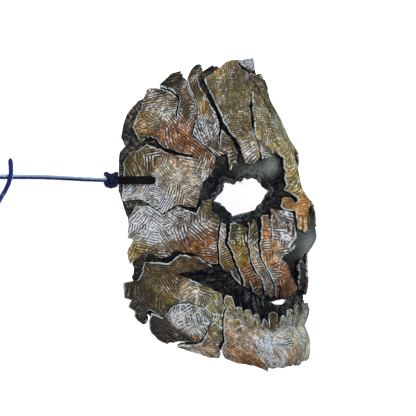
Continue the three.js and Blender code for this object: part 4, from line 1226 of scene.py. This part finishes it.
def knot(name, side):
    """An overhand knot drawn tight, in dark navy cord."""
    t = np.linspace(0, 2 * math.pi, KNOT_RINGS, endpoint=False)
    curve = np.stack([np.sin(t) + 2 * np.sin(2 * t), np.cos(t) - 2 * np.cos(2 * t),
                      -np.sin(3 * t)], -1)
    low, high = curve.min(0), curve.max(0)
    curve = (curve - (high + low) / 2) / (high - low) * (2 * (np.array(KNOT_RADII) - KNOT_TUBE))
    route = curve + [side * KNOT_X, STRAP_HEIGHT[name], KNOT_RADII[2] + TABLE_GAP]
    tangent = unit(np.roll(route, -1, 0) - np.roll(route, 1, 0))
    out = unit(curve - (curve * tangent).sum(1, keepdims=True) * tangent)
    other = np.cross(tangent, out)
    angle = full_turn(KNOT_SIDES)
    strands = 0.92 + 0.08 * np.cos(3 * angle + 22 * t[:, None])
    points = route[:, None] + KNOT_TUBE * strands[..., None] * (
        out[:, None] * np.cos(angle)[:, None] + other[:, None] * np.sin(angle)[:, None])
    tone = 0.6 + 0.8 * noise(t[:, None] * 14, angle * 2, 97)
    return add_mesh(f"knot_{name}_tied", metres(points.reshape(-1, 3)),
                    tube_faces(KNOT_RINGS, KNOT_SIDES, True),
                    (KNOT_NAVY * tone[..., None]).reshape(-1, 3), cord_material)


def add_cords():
    for name, side in SIDES:
        band, band_route = strap(name, side)
        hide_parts(f"strap_{name}")
        tied = knot(name, side)
        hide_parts(f"knot_{name}")
        route = LACE_ROUTES[name]
        tie = lace(f"lace_{name}_cord", route)
        stood_for = ["lace_right", "lace_end_right", "coil_right"]
        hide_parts(*(stood_for if name == "right" else ["lace_left", "coil_left"]))


# The plates

SINGLE_PLATES = [
    ("forehead_slab", FOREHEAD_SLAB, "olive_leather", 11,
     {"lifted": [(16, 206, 3.5, 14), (-66, 223, 3, 14), (19, 116.5, 4, 7)]}),
    ("forehead_plate_left", FOREHEAD_LEFT, "olive_leather", 12, {}),
    ("crown_sliver", CROWN_SLIVER, "bone_leather", 13, {"lifted": [(-10, 222, 3.4, 14)]}),
    ("upper_lip_plate", LIP_PLATE, "bone_leather", 15, {}),
    ("chin_plate", CHIN_PLATE, "bone_leather", 16, {}),
]
PAIRED_PLATES = [
    ("forehead_flank", FOREHEAD_FLANK, "bone_leather", 21, {}),
    ("temple_plate", TEMPLE_PLATE, "amber_leather", 22, {}),
    ("cheek_plate", CHEEK_PLATE, "rust_leather", 23, {}),
    ("jaw_plate", JAW_PLATE, "olive_leather", 24, {}),
    ("jaw_corner", JAW_CORNER, "rust_leather", 25, {}),
    ("cheek_strip_outer", CHEEK_STRIP_OUTER, "olive_leather", 26, {"curl": 0.8}),
    ("cheek_strip_middle", CHEEK_STRIP_MIDDLE, "amber_leather", 27, {"curl": 0.8}),
    ("cheek_strip_inner", CHEEK_STRIP_INNER, "amber_leather", 28, {"curl": 0.8}),
    ("nose_side_plate", NOSE_SIDE_PLATE, "rust_leather", 29, {"curl": 0.8}),
]
LEFT_SEED = 30      # added on the left, so that the two sides are scored and torn differently


def plate_shapes():
    """The outlines of all the plates, on both sides."""
    shapes = [shift_left(outline) for _, outline, *_ in SINGLE_PLATES]
    for _, outline, *_ in PAIRED_PLATES:
        shapes += both_sides(outline).values()
    return shapes


def add_plates():
    for name, outline, slot, seed, options in SINGLE_PLATES:
        torn_plate(name, name, shift_left(outline), slot, FINE["middle"], seed, **options)
    for name, outline, slot, seed, options in PAIRED_PLATES:
        for side, shape in both_sides(outline).items():
            holes = [strap_hole[side]] if name == "temple_plate" else []
            side_seed = seed + (LEFT_SEED if side == "left" else 0)
            torn_plate(f"{name}_{side}", name, shape, slot, FINE[side], side_seed, holes,
                       **options)


# Floor and light

FLOOR_HALF = 6.0
FLOOR_GLOW = 0.85
SKY_STRENGTH = 0.25
# Name, the way to the light, distance and size in metres, watts and colour
LIGHTS = (
    ("key", (-0.75, 0.25, 0.75), 1.4, 0.35, 13, (1.0, 0.98, 0.95)),
    ("top", (0.2, 0.5, 1.0), 1.6, 0.6, 9, (0.95, 0.98, 1.0)),
)


def add_floor():
    mesh = bpy.data.meshes.new("floor")
    corners = [(-1, -1), (1, -1), (1, 1), (-1, 1)]
    mesh.from_pydata([(FLOOR_HALF * x, FLOOR_HALF * y, 0) for x, y in corners], [],
                     [(0, 1, 2, 3)])
    material, _, shader = new_material("floor")
    shader.inputs["Base Color"].default_value = (0.8, 0.8, 0.8, 1)
    shader.inputs["Roughness"].default_value = 0.9
    shader.inputs["Emission Color"].default_value = (1, 1, 1, 1)
    shader.inputs["Emission Strength"].default_value = FLOOR_GLOW
    mesh.materials.append(material)
    floor = add_object("floor", mesh)


def add_light(name, direction, distance, size, watts, colour):
    data = bpy.data.lights.new(name, "AREA")
    data.size = size
    data.energy = watts
    data.color = colour
    light = add_object(name, data)
    aim = Vector(direction).normalized()
    light.location = Vector(metres(VIEW_TARGET)) + aim * distance
    light.rotation_mode = "QUATERNION"
    light.rotation_quaternion = aim.to_track_quat("Z", "Y")


def add_lights():
    for light in LIGHTS:
        add_light(*light)
    world = bpy.data.worlds.new("studio")
    bpy.context.scene.world = world
    world.use_nodes = True
    background = world.node_tree.nodes["Background"]
    background.inputs["Color"].default_value = (1, 1, 1, 1)
    background.inputs["Strength"].default_value = SKY_STRENGTH


add_cords()
base_shell()
add_plates()
add_floor()
add_lights()
bpy.context.scene.view_settings.view_transform = "Standard"
